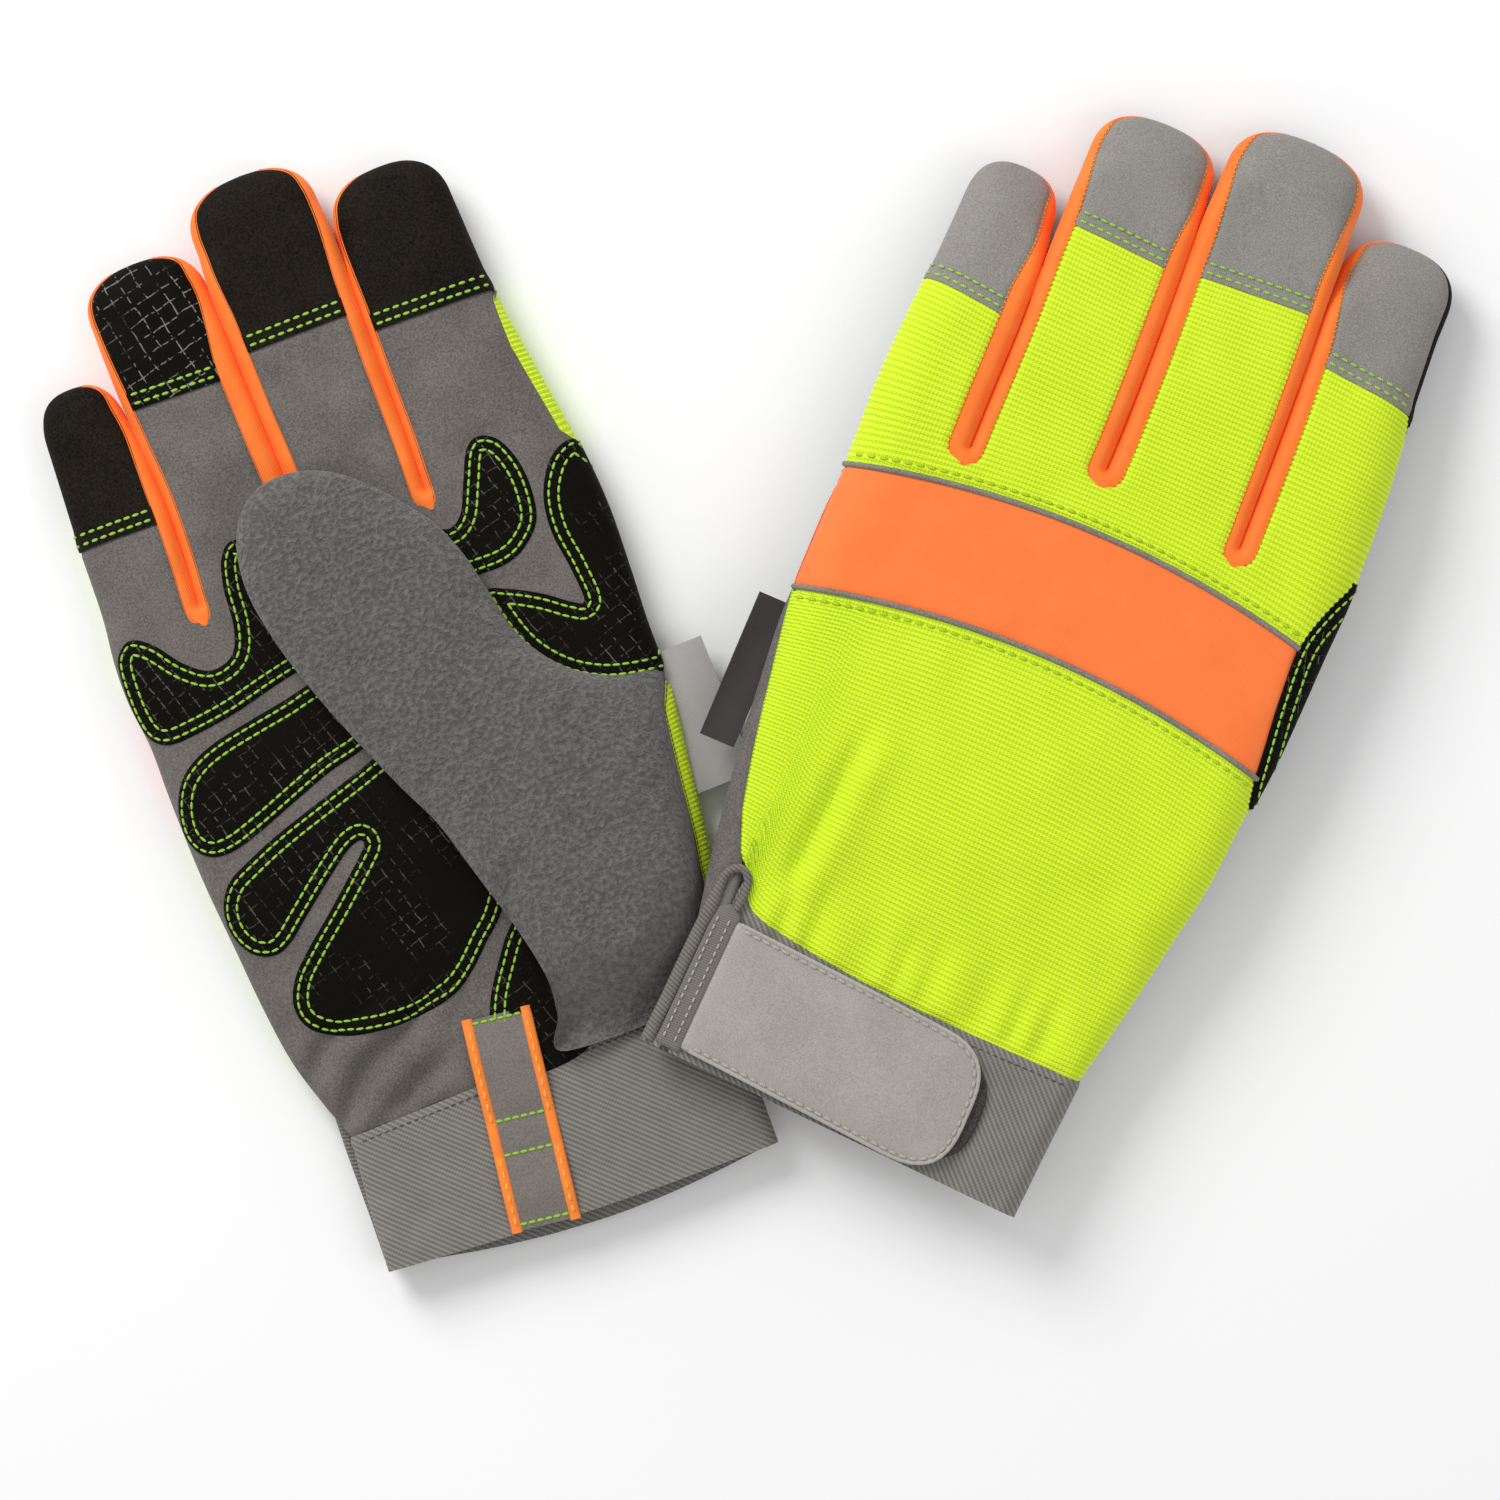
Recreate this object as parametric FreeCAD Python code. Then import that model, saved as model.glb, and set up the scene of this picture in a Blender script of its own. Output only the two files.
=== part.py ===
"""A pair of insulated high-visibility work gloves, laid flat as one set.

The right-hand glove lies palm up. The left-hand glove lies back up, on its own tucked-in thumb, with
the ulnar corner of its cuff over the cuff of the other glove. Both gloves are drawn in one way, each
in its own frame: x towards the thumb side, y towards the fingertips, and n towards the back of the
hand, all from the middle of the shell. A glove that lies palm up is then the same drawing turned
over through its mid-plane, so only the direction of n changes.

All sizes are millimetres. +Z is up, and the origin is the middle of the set's footprint.
"""

import FreeCAD, Part
import math
import os

from FreeCAD import Vector

# ---- driving dimensions ---------------------------------------------------------------------------
HALF_T = 7.5             # half the thickness of the hand and of a finger
WALL = 1.2               # outer fabric
LINING = 0.8             # fleece lining of the hand
LINING_LOW_Y = 70.0
LINING_STOP = 6.0        # it ends this far short of the finger rooms
EDGE_R = 5.0             # rounding of the shell's edges
FLEX_Y = 194.0           # line across the fingers where they bend
FINGER_BASE_Y = 139.0    # the straight sides of the fingers are drawn from here
GAP = 0.3                # clearance between bodies that move apart

CUFF_TOP_Y = 33.0        # where the elastic cuff meets the hand
CUFF_BACK_N = 4.2        # outer face of the cuff on the back of the wrist
CUFF_PALM_N = -2.6       # outer face of the cuff under the wrist
CUFF_WALL = 1.1
RAMP_LOW_Y = 52.0        # the hand is as thin as the cuff up to here
BACK_FULL_Y = 80.0       # and at its full thickness on the back from here
PALM_FULL_Y = 105.0      # and on the palm from here

SLIT_X = -46.5           # wrist slit, on the little finger's side
SLIT_W = 2.0
SLIT_TOP_Y = 47.0
BINDING_W = 3.3          # tape that binds the slit
BINDING_T = 1.2
BINDING_R = 3.0
BINDING_LOW_Y = 2.0
PIPING_W = 1.7
PIPING_T = 0.5
BAND_LOW_Y = 124.0       # knuckle band on the back: its two edges in the middle
BAND_HIGH_Y = 155.0
BAND_DROP = 7.5          # and how far both edges have dropped at the sides
BAND_HALF_W = 60.0
BAND_LOWEST_Y = 100.0    # all of the piping lies above this
BAND_HIGHEST_Y = 170.0   # and below this

HAND_CORNER_R = 9.0
HAND_RUN_ON = 25.0       # the hand's outline is drawn this far past the cuff's seam
HAND_ROOM_TOP_Y = 154.0  # the room for the hand ends here and four finger rooms go on
FINGER_TIP_R = 11.5
SIDE_W = 3.4             # visible width of a finger's side wall
GUSSET_W = 8.6           # width of the side walls where two fingers meet
GUSSET_FOOT = 5.0        # they reach this far below the slit between the fingers
SLIT_GAP = 0.6           # gap between two fingers

PAD_T = 0.8              # sewn-on grip pads
PAD_R = 2.8
HEEL_T = 2.6             # folded fleece on the heel of the hand
HEEL_R = 4.0
THUMB_T = 8.0
THUMB_WALL = 1.6
THUMB_EDGE_R = 2.4
THUMB_R = 9.0            # corners of the thumb's outline
THUMB_ROOM_R = 7.0       # and of the room in it
THUMB_PIVOT = (27.0, 92.0)
THUMB_ROOT_R = 27.0

STRAP_ROOT_X = -41.6
STRAP_END_X = 26.0
STRAP_T = 1.8
STRAP_ROUND_X = -5.0     # the strap's rounded end starts here
STRAP_END_R = 14.0
HOOK_T = 1.0
HOOK_R = 9.0
HOOK_START_X = 2.0
HOOK_REACH = 3.0         # the hook patch shows this far past the strap's end
TAB_W = 16.5
TAB_R = 0.6
TAB_TOP_Y = 47.0
TAB_LOW_Y = -4.0
TAB_X = -9.0
TAB_T = 1.2
TAB_ANGLE = -8.5
LABEL_T = 0.6
SHARP = 0.01             # corner radius of an outline with plain corners
FAR = 130.0              # larger than any glove

THUMB_TOP_N = -(HALF_T + PAD_T + GAP)
LEFT_LIFT = THUMB_T - THUMB_TOP_N          # the left glove lies on its thumb

# The two gloves differ a little, as sewn gloves do. A finger is its left and right edge where it
# bends, the same at its tip, and the heights of the tip, of the back cap and of the palm patch.
GLOVES = {
    "right": {
        "palm_up": True,
        "place": (-37.3, -117.8, HALF_T),
        "turn": 22.0,
        "wrist_drop": 0.0,
        "ulnar": [(-50, 33), (-55.5, 58), (-59, 85), (-59.5, 120), (-59.5, 150), (-56.0, 208)],
        "radial": [(47, 33), (56, 60), (61, 90), (63.8, 120), (64.5, 150), (59.4, 208)],
        "cuff": [(-52.5, 0), (-50, 33), (47, 33), (46, -8)],
        "slits": [(-34.5, 166), (-4.3, 172), (27.0, 172)],
        "label": (60.0, 78.0, 14.5, 36.0),
        "fingers": {
            "little": (-57.0, -34.8, -54.5, -35.2, 225.0, 197.0, 189.0),
            "ring": (-34.2, -4.6, -34.0, -4.8, 247.5, 221.0, 215.5),
            "middle": (-4.0, 26.7, -3.2, 27.8, 257.5, 223.0, 217.0),
            "index": (27.3, 61.0, 29.4, 58.5, 247.0, 213.5, 211.0),
        },
    },
    "left": {
        "palm_up": False,
        "place": (22.7, -103.4, LEFT_LIFT),
        "turn": -23.0,
        "wrist_drop": 4.4,
        "ulnar": [(-50, 33), (-54.5, 60), (-59.5, 95), (-61.5, 125), (-61.8, 150), (-60.8, 208)],
        "radial": [(48, 33), (54.5, 62), (58.5, 90), (60.5, 120), (62, 150), (60.2, 208)],
        "cuff": [(-52, 1), (-50, 33), (48, 33), (46.5, -3.5)],
        "slits": [(-35.5, 163), (-3.5, 171), (32.4, 167)],
        "label": (-68.0, 74.0, 8.5, 37.0),
        "fingers": {
            "little": (-61.3, -35.8, -60.2, -38.2, 230.0, 196.0, 189.0),
            "ring": (-35.2, -3.8, -36.5, -6.8, 251.5, 221.0, 216.0),
            "middle": (-3.2, 32.1, -4.8, 28.6, 261.0, 223.0, 219.0),
            "index": (32.7, 61.3, 30.4, 58.6, 247.5, 213.0, 211.0),
        },
    },
}

# Grip pads on the palm.
PADS = [
    [(-57, 139), (-58, 158), (-52, 165), (-44, 156), (-35, 150), (-29, 154), (-26, 172), (-20, 177),
     (-8, 166), (2, 170), (10, 181), (19, 170), (29, 158), (37, 172), (44, 178), (49.5, 170),
     (46, 153), (36, 147), (0, 146), (-17, 143)],
    [(-56, 110), (-55, 126), (-44, 132), (18, 142), (24, 130), (-8, 121), (-50, 108)],
    [(-55, 94), (-51, 99), (-2, 116), (22, 118), (24, 92), (8, 74), (-8, 59), (-30, 54), (-47, 58),
     (-50, 68), (-18, 98), (-20, 102), (-44, 83), (-50, 81.5)],
    [(50, 132), (50.5, 152), (53, 162), (57, 166), (59, 113), (50, 111), (40, 119), (34, 134)],
]

THUMB = [(-21, 155), (-20, 177), (-8, 186), (8, 183), (24, 164), (31, 145), (34, 128), (44, 112),
         (46, 80), (10, 70), (0, 95), (-10, 120)]
THUMB_ROOM = [(-15, 155), (-14, 172), (-6, 179), (5, 177), (18, 161), (24, 143), (27, 128), (33, 100),
              (30, 55), (14, 55), (8, 95), (-4, 122)]
HEEL = [(8, 34), (46, 34), (55, 60), (59.5, 88), (59.5, 97), (4, 97), (4, 80), (9, 62)]


# ---- plane outlines and slabs ---------------------------------------------------------------------
def rounded(points, radius):
    """Closed outline of straight runs with a tangent arc at each corner, as a wire in the xy plane."""
    count = len(points)
    corners = []
    for i in range(count):
        here = Vector(*points[i], 0)
        to_last = Vector(*points[i - 1], 0) - here
        to_next = Vector(*points[(i + 1) % count], 0) - here
        room = 0.45 * min(to_last.Length, to_next.Length)
        to_last.normalize()
        to_next.normalize()
        half = 0.5 * to_last.getAngle(to_next)
        if half > math.radians(89.5):
            corners.append((here, None, here))
            continue
        reach = min(radius / math.tan(half), room)
        fitted = reach * math.tan(half)
        inward = (to_last + to_next).normalize()
        middle = here + inward * (fitted / math.sin(half) - fitted)
        corners.append((here + to_last * reach, middle, here + to_next * reach))
    edges = []
    for i in range(count):
        start, middle, end = corners[i]
        if middle is not None:
            edges.append(Part.Arc(start, middle, end).toShape())
        edges.append(Part.LineSegment(end, corners[(i + 1) % count][0]).toShape())
    return Part.Wire(edges)


def slab(points, radius, low, high):
    """Prism of a rounded outline between two heights."""
    face = Part.Face(rounded(points, radius))
    face.translate(Vector(0, 0, low))
    return face.extrude(Vector(0, 0, high - low))


def soft_slab(points, radius, low, high, edge_radius):
    """The same prism with its upper and lower edges rounded over."""
    solid = slab(points, radius, low, high)
    rims = [edge for edge in solid.Edges
            if edge.BoundBox.ZLength < 0.01 and min(abs(edge.BoundBox.ZMin - low),
                                                    abs(edge.BoundBox.ZMin - high)) < 0.01]
    return solid.makeFillet(edge_radius, rims)


def block(x0, x1, y0, y1, n0, n1):
    return Part.makeBox(x1 - x0, y1 - y0, n1 - n0, Vector(x0, y0, n0))


def above(height):
    """All the space above a sloping plane, whose height is a function of x and y."""
    corners = [(-FAR, -FAR), (FAR, -FAR), (FAR, 3 * FAR), (-FAR, 3 * FAR), (-FAR, -FAR)]
    wire = Part.makePolygon([Vector(x, y, height(x, y)) for x, y in corners])
    return Part.Face(wire).extrude(Vector(0, 0, 2 * FAR))


def below(height):
    return above(lambda x, y: height(x, y) - 2 * FAR)


# ---- surfaces of a glove --------------------------------------------------------------------------
def wrist_palm(glove, x):
    """Height of the palm side at the wrist, which hangs lower towards the thumb on the left glove."""
    return CUFF_PALM_N - glove["wrist_drop"] * (x + 50.0) / 100.0


def inside(glove, out):
    """The space between the palm surface and the back surface, both moved outwards by a distance."""
    palm_slope = (HALF_T + CUFF_PALM_N) / (PALM_FULL_Y - RAMP_LOW_Y)
    back_slope = (HALF_T - CUFF_BACK_N) / (BACK_FULL_Y - RAMP_LOW_Y)
    wrist = above(lambda x, y: wrist_palm(glove, x) - out)
    ramp = above(lambda x, y: wrist_palm(glove, x) - (y - RAMP_LOW_Y) * palm_slope - out)
    palm = above(lambda x, y: -HALF_T - out).common(wrist.fuse(ramp))
    wrist = below(lambda x, y: CUFF_BACK_N + out)
    ramp = below(lambda x, y: CUFF_BACK_N + (y - RAMP_LOW_Y) * back_slope + out)
    back = below(lambda x, y: HALF_T + out).common(wrist.fuse(ramp))
    return palm.common(back)


def on_palm(glove, outline, thickness):
    """A layer of even thickness on the palm surface, within an outline."""
    layer = inside(glove, thickness).cut(inside(glove, 0.0))
    return outline.common(layer).common(block(-FAR, FAR, -FAR, 2 * FAR, -FAR, 0))


def band_zone(middle_y):
    """All of the hand on the wrist's side of a curved seam across the back."""
    left = Vector(-BAND_HALF_W, middle_y - BAND_DROP, -30)
    right = Vector(BAND_HALF_W, middle_y - BAND_DROP, -30)
    curve = Part.Arc(left, Vector(0, middle_y, -30), right).toShape()
    down = Vector(0, -FAR, 0)
    outer = Vector(FAR, 0, 0)
    sides = Part.makePolygon([right, right + outer, right + outer + down, left - outer + down,
                              left - outer, left])
    return Part.Face(Part.Wire([curve] + sides.Edges)).extrude(Vector(0, 0, 60))


# ---- fingers --------------------------------------------------------------------------------------
def finger_outline(finger, inset=0.0):
    left, right, tip_left, tip_right, tip_y = finger[:5]
    base = FINGER_BASE_Y
    return [(left + inset, base), (tip_left + inset, tip_y - inset), (tip_right - inset, tip_y - inset),
            (right - inset, base)]


def finger_room(finger):
    half = HALF_T - WALL
    return soft_slab(finger_outline(finger, WALL), FINGER_TIP_R - WALL, -half, half, EDGE_R - WALL)


def side_strip(finger, sign):
    """Plan of one side wall: a strip along the left (-1) or right (+1) edge, short of the tip."""
    left, right, tip_left, tip_right, tip_y = finger[:5]
    base_x = left if sign < 0 else right
    tip_x = tip_left if sign < 0 else tip_right
    inner = -sign * SIDE_W
    outer = sign * SIDE_W
    low = FLEX_Y - 20
    high = tip_y - FINGER_TIP_R
    points = [(base_x + inner, low), (tip_x + inner, high), (tip_x + outer, high), (base_x + outer, low)]
    return slab(points, SHARP, -HALF_T - 1, HALF_T + 1)


def finger_pieces(glove, name):
    """Back, palm, tip (back cap and palm patch) and side walls of one finger beyond its bend."""
    finger = glove["fingers"][name]
    outer = soft_slab(finger_outline(finger), FINGER_TIP_R, -HALF_T, HALF_T, EDGE_R)
    shell = outer.cut(finger_room(finger))
    signs = {"little": [1], "index": [-1]}.get(name, [-1, 1])
    strips = [side_strip(finger, sign) for sign in signs]
    sides = [shell.common(strip) for strip in strips]
    core = shell.cut(Part.makeCompound(strips))
    cap_y, patch_y = finger[5:]
    x0, x1, y1 = -FAR, FAR, 3 * FAR
    pieces = {
        "back": [core.common(block(x0, x1, -FAR, cap_y, 0, FAR))],
        "palm": [core.common(block(x0, x1, -FAR, patch_y, -FAR, 0))],
        "tip": [core.common(block(x0, x1, cap_y, y1, 0, FAR)),
                core.common(block(x0, x1, patch_y, y1, -FAR, 0))],
        "sides": sides,
    }
    beyond = block(x0, x1, FLEX_Y + GAP, y1, -FAR, FAR)
    droop = 0.0
    if not glove["palm_up"]:
        droop = math.degrees(math.asin((LEFT_LIFT - HALF_T - GAP) / (finger[4] - FLEX_Y)))
    for shapes in pieces.values():
        for shape in shapes:
            shape.rotate(Vector(0, FLEX_Y, HALF_T), Vector(1, 0, 0), -droop)
    pieces = {piece: [shape.common(beyond) for shape in shapes] for piece, shapes in pieces.items()}
    return {piece: shapes for piece, shapes in pieces.items() if shapes[0].Volume > 1.0}


# ---- hand -----------------------------------------------------------------------------------------
def hand_outline(glove, inset=0.0):
    """Plan of the hand, run on past the cuff and past the bend of the fingers."""
    ulnar = [(x + inset, y) for x, y in glove["ulnar"]]
    radial = [(x - inset, y) for x, y in glove["radial"]]
    below_cuff = [(radial[0][0], CUFF_TOP_Y - HAND_RUN_ON), (ulnar[0][0], CUFF_TOP_Y - HAND_RUN_ON)]
    return ulnar + radial[::-1] + below_cuff


def hand_room(glove, wall):
    """Room for the hand, from the cuff to the roots of the fingers."""
    half = HALF_T - wall
    body = soft_slab(hand_outline(glove, wall), HAND_CORNER_R, -half, half, EDGE_R - wall)
    length = block(-FAR, FAR, 0, HAND_ROOM_TOP_Y - wall, -FAR, FAR)
    return body.common(length).common(inside(glove, -wall))


def hand_pieces(glove):
    """Everything sewn to the hand, by name, as lists of solids."""
    outer = soft_slab(hand_outline(glove), HAND_CORNER_R, -HALF_T, HALF_T, EDGE_R)
    outer = outer.common(inside(glove, 0.0))
    outer = outer.common(block(-FAR, FAR, CUFF_TOP_Y, FLEX_Y, -FAR, FAR))
    rooms = [hand_room(glove, WALL)] + [finger_room(finger) for finger in glove["fingers"].values()]
    shell = outer
    for room in rooms:
        shell = shell.cut(room)
    finger_list = list(glove["fingers"].values())
    gussets = []
    for number, (slit_x, slit_y) in enumerate(glove["slits"]):
        top_x = 0.5 * (finger_list[number][1] + finger_list[number + 1][0])
        half = GUSSET_W / 2
        strip = slab([(top_x - half, FLEX_Y + 10), (slit_x - half, slit_y - GUSSET_FOOT),
                      (slit_x + half, slit_y - GUSSET_FOOT), (top_x + half, FLEX_Y + 10)],
                     half - 0.1, -HALF_T - 1, HALF_T + 1)
        gap = SLIT_GAP / 2
        slit = slab([(top_x - gap, FLEX_Y + 1), (slit_x - gap, slit_y), (slit_x + gap, slit_y),
                     (top_x + gap, FLEX_Y + 1)], SHARP, -HALF_T - 1, HALF_T + 1)
        gussets.append(shell.common(strip).cut(slit))
        shell = shell.cut(strip)
    seams = [piping(glove, BAND_LOW_Y), piping(glove, BAND_HIGH_Y)]
    wrist_slit = block(SLIT_X - SLIT_W / 2, SLIT_X + SLIT_W / 2, -FAR, SLIT_TOP_Y, 0, FAR)
    back = shell.common(block(-FAR, FAR, 0, 2 * FAR, 0, FAR)).cut(wrist_slit)
    for seam in seams:
        back = back.cut(seam)
    low = band_zone(BAND_LOW_Y)
    high = band_zone(BAND_HIGH_Y)
    pieces = {
        "back_lower_panel": [back.common(low)],
        "knuckle_band": [back.common(high).cut(low)],
        "back_upper_panel": [back.cut(high)],
        "palm_panel": [shell.common(block(-FAR, FAR, 0, 2 * FAR, -FAR, 0))],
        "finger_gussets": gussets,
    }
    lining = hand_room(glove, WALL).cut(hand_room(glove, WALL + LINING))
    pieces["lining"] = [lining.common(block(-FAR, FAR, LINING_LOW_Y, HAND_ROOM_TOP_Y - LINING_STOP, -FAR, FAR))]
    pieces["palm_pads"] = [on_palm(glove, slab(points, PAD_R, -FAR, FAR), PAD_T) for points in PADS]
    pieces["piping_and_binding"] = seams + [binding()]
    heel = on_palm(glove, slab(HEEL, HEEL_R, -FAR, FAR), HEEL_T)
    clear = Part.makeCylinder(THUMB_ROOT_R + GAP, 2 * FAR, Vector(*THUMB_PIVOT, -FAR))
    heel = heel.cut(clear)
    for pad in pieces["palm_pads"]:
        heel = heel.cut(pad)
    pieces["thumb_heel"] = [heel]
    return pieces


def piping(glove, middle_y):
    """Corded piping sewn into a curved seam of the back."""
    zone = band_zone(middle_y + PIPING_W / 2).cut(band_zone(middle_y - PIPING_W / 2))
    left = max(x for x, y in glove["ulnar"][2:5]) + EDGE_R
    right = min(x for x, y in glove["radial"][2:5]) - EDGE_R
    return zone.common(block(left, right, BAND_LOWEST_Y, BAND_HIGHEST_Y, HALF_T - PIPING_T, HALF_T))


def binding():
    """Tape round the wrist slit, in one loop."""
    half = SLIT_W / 2 + BINDING_W
    top = SLIT_TOP_Y + BINDING_W
    low = BINDING_LOW_Y
    loop = slab([(SLIT_X - half, low), (SLIT_X - half, top), (SLIT_X + half, top), (SLIT_X + half, low)],
                BINDING_R, CUFF_BACK_N, CUFF_BACK_N + BINDING_T)
    return loop.cut(block(SLIT_X - SLIT_W / 2, SLIT_X + SLIT_W / 2, -FAR, SLIT_TOP_Y, -FAR, FAR))


# ---- cuff, strap and tabs -------------------------------------------------------------------------
def cuff(glove):
    """Elastic band, open at both ends and slit on the back."""
    corners = glove["cuff"]
    outer = slab(corners, SHARP, -FAR, FAR).common(inside(glove, 0.0))
    inner = [(corners[0][0] + CUFF_WALL, -FAR / 4), (corners[1][0] + CUFF_WALL, CUFF_TOP_Y + 2),
             (corners[2][0] - CUFF_WALL, CUFF_TOP_Y + 2), (corners[3][0] - CUFF_WALL, -FAR / 4)]
    tube = outer.cut(slab(inner, SHARP, -FAR, FAR).common(inside(glove, -CUFF_WALL)))
    return tube.cut(block(SLIT_X - SLIT_W / 2, SLIT_X + SLIT_W / 2, -FAR, SLIT_TOP_Y, 0, FAR))


def strap():
    """Wrist strap with a rounded end, and the hook patch under that end."""
    hook_n = CUFF_BACK_N + GAP
    strap_n = hook_n + HOOK_T
    end = STRAP_END_X
    far_end = [(0, 33.5), (end, 31), (end, -1.5), (0, -0.5)]
    band = slab([(STRAP_ROOT_X, 3), (STRAP_ROOT_X, 37)] + far_end, SHARP, strap_n, strap_n + STRAP_T)
    tip = slab([(-20, 2), (-20, 34)] + far_end, STRAP_END_R, -FAR, FAR)
    band = band.common(tip.fuse(block(-FAR, STRAP_ROUND_X, -FAR, FAR, -FAR, FAR)))
    hook_end = end + HOOK_REACH
    hook = slab([(HOOK_START_X, 3), (HOOK_START_X, 28), (hook_end, 28), (hook_end, 1)],
                HOOK_R, hook_n, strap_n)
    return [band, hook]


def pull_tab(glove):
    half = TAB_W / 2
    outline = slab([(TAB_X - half, TAB_LOW_Y), (TAB_X - half, TAB_TOP_Y), (TAB_X + half, TAB_TOP_Y),
                    (TAB_X + half, TAB_LOW_Y)], TAB_R, -FAR, FAR)
    middle = Vector(TAB_X, 0.5 * (TAB_LOW_Y + TAB_TOP_Y), 0)
    outline.rotate(middle, Vector(0, 0, 1), TAB_ANGLE)
    return on_palm(glove, outline, TAB_T)


def label(glove, hand):
    x, y, width, length = glove["label"]
    tag = block(x, x + width, y, y + length, -LABEL_T / 2, LABEL_T / 2)
    outer_part = tag.cut(Part.makeCompound(hand)).Solids
    return max(outer_part, key=lambda solid: solid.Volume)


def thumb():
    """Thumb folded flat over the palm, hollow, and open at its root."""
    low = THUMB_TOP_N - THUMB_T
    root = Part.makeCylinder(THUMB_ROOT_R, THUMB_T, Vector(*THUMB_PIVOT, low))
    root = root.makeFillet(THUMB_EDGE_R, [edge for edge in root.Edges if edge.BoundBox.ZLength < 0.01])
    body = soft_slab(THUMB, THUMB_R, low, THUMB_TOP_N, THUMB_EDGE_R).fuse(root)
    room = slab(THUMB_ROOM, THUMB_ROOM_R, THUMB_TOP_N - THUMB_T + THUMB_WALL, THUMB_TOP_N - THUMB_WALL)
    return body.cut(room)


# ---- the set --------------------------------------------------------------------------------------
def place(shape, glove):
    """Turn a glove over if its palm faces up, then lay it where it lies in the set."""
    if glove["palm_up"]:
        shape = shape.mirror(Vector(0, 0, 0), Vector(0, 0, 1))
    shape.rotate(Vector(0, 0, 0), Vector(0, 0, 1), glove["turn"])
    shape.translate(Vector(*glove["place"]))
    return shape


def glove_nodes(side):
    glove = GLOVES[side]
    nodes = hand_pieces(glove)
    hand = nodes["palm_panel"] + nodes["back_lower_panel"]
    nodes["cuff_band"] = [cuff(glove)]
    nodes["wrist_strap"] = strap()
    nodes["pull_tab"] = [pull_tab(glove)]
    nodes["side_label"] = [label(glove, hand)]
    nodes["thumb"] = [thumb()]
    for name in glove["fingers"]:
        for piece, solids in finger_pieces(glove, name).items():
            nodes[f"{name}_{piece}"] = solids
    return {f"{side}_{name}": [place(solid, glove) for solid in solids] for name, solids in nodes.items()}


def main():
    os.makedirs("parts", exist_ok=True)
    nodes = {}
    for side in GLOVES:
        nodes.update(glove_nodes(side))
    whole = Part.makeCompound([solid for solids in nodes.values() for solid in solids])
    box = whole.BoundBox
    print(f"{len(nodes)} nodes, x {box.XMin:.2f}..{box.XMax:.2f}, y {box.YMin:.2f}..{box.YMax:.2f},"
          f" z {box.ZMin:.2f}..{box.ZMax:.2f}")
    for name, solids in nodes.items():
        parts = [part for solid in solids for part in solid.Solids]
        shape = parts[0] if len(parts) == 1 else Part.makeCompound(parts)
        print(name, len(parts), round(shape.Volume), shape.isValid())
        shape.exportStep(f"parts/{name}.step")


main()
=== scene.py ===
"""Looks of a pair of insulated high-visibility work gloves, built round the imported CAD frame.

Each glove is drawn in its own frame in millimetres: x towards the thumb side, y towards the
fingertips, and n towards the back of the hand. One function gives the padded outer skin anywhere on
the back (side +1) or on the palm (side -1), and every panel, strip, pad and stitch lies on it.
"""
import math

import bmesh
import bpy
import numpy as np
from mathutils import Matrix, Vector, geometry


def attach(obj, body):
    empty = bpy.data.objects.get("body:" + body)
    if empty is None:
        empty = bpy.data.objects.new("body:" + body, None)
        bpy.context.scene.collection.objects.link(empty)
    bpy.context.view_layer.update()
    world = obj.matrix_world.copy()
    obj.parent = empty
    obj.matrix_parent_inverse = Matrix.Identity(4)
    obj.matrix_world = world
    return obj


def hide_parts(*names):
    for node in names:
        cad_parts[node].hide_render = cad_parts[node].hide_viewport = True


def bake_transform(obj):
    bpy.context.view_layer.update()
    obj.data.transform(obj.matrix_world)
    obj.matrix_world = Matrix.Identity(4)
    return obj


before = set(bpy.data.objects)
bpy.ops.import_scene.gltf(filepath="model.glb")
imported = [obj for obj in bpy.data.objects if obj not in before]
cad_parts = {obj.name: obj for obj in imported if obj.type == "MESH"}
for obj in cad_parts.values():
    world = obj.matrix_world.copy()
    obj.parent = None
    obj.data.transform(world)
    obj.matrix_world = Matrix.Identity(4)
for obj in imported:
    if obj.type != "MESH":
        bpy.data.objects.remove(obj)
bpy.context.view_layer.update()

MM = 0.001
HALF_T = 7.5             # half the thickness of a padded hand or finger
FLEX_Y = 194.0           # where a finger bends
BEND = (178.0, 210.0)    # the fabric turns between these
FINGERS_Y = 176.0        # above this the fingers' own outlines give the shape
CUFF_TOP_Y = 33.0
CUFF_BACK_N = 4.2
CUFF_PALM_N = -2.6
SKIN_T = 1.0             # thickness of a fabric panel
RIB = 1.3                # pitch of the ribbed knit
ROWS_PER_RIB = 4
RIB_HEIGHT = 0.30
SEAM_TUCK = 0.5          # panels dip this much where they are sewn
FINGER_R = 12.0          # how far in from its edge a finger reaches full height
HAND_R = 11.0
WRIST_R = 4.5
TIP_POWER = 2.45         # fingertips are a little squarer than an ellipse
SLIT_FOLD = 3.2          # a finger's side against another finger turns down this much more sharply
SLIT_RIM = 2.2           # and both sides meet at about half height, not at the bottom
STRIP_FOOT = 4.6         # the orange strips reach this far below the slit
STRIP_OVERLAP = 0.9      # a strip's foot laps this far over the panels below it
HIDDEN_STRIP = 3.0       # width of a strip on the side that doesn't show
BAND_LOW_Y = 123.6       # the knuckle band's two edges in the middle
BAND_HIGH_Y = 155.4
BAND_DROP = 7.6          # how far they have dropped at BAND_HALF_W from the middle
BAND_HALF_W = 60.0
COLUMN_JOIN_Y = 150.0    # the palm is one panel up to here and one column for each finger beyond
SLIT_X = -46.5           # wrist slit
THUMB_FULL_N = -16.45    # the folded thumb's top
THUMB_BACK_N = -8.7      # and its side against the palm
EDGE_SLACK = 0.001       # a point this little past an edge still counts as on it
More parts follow.
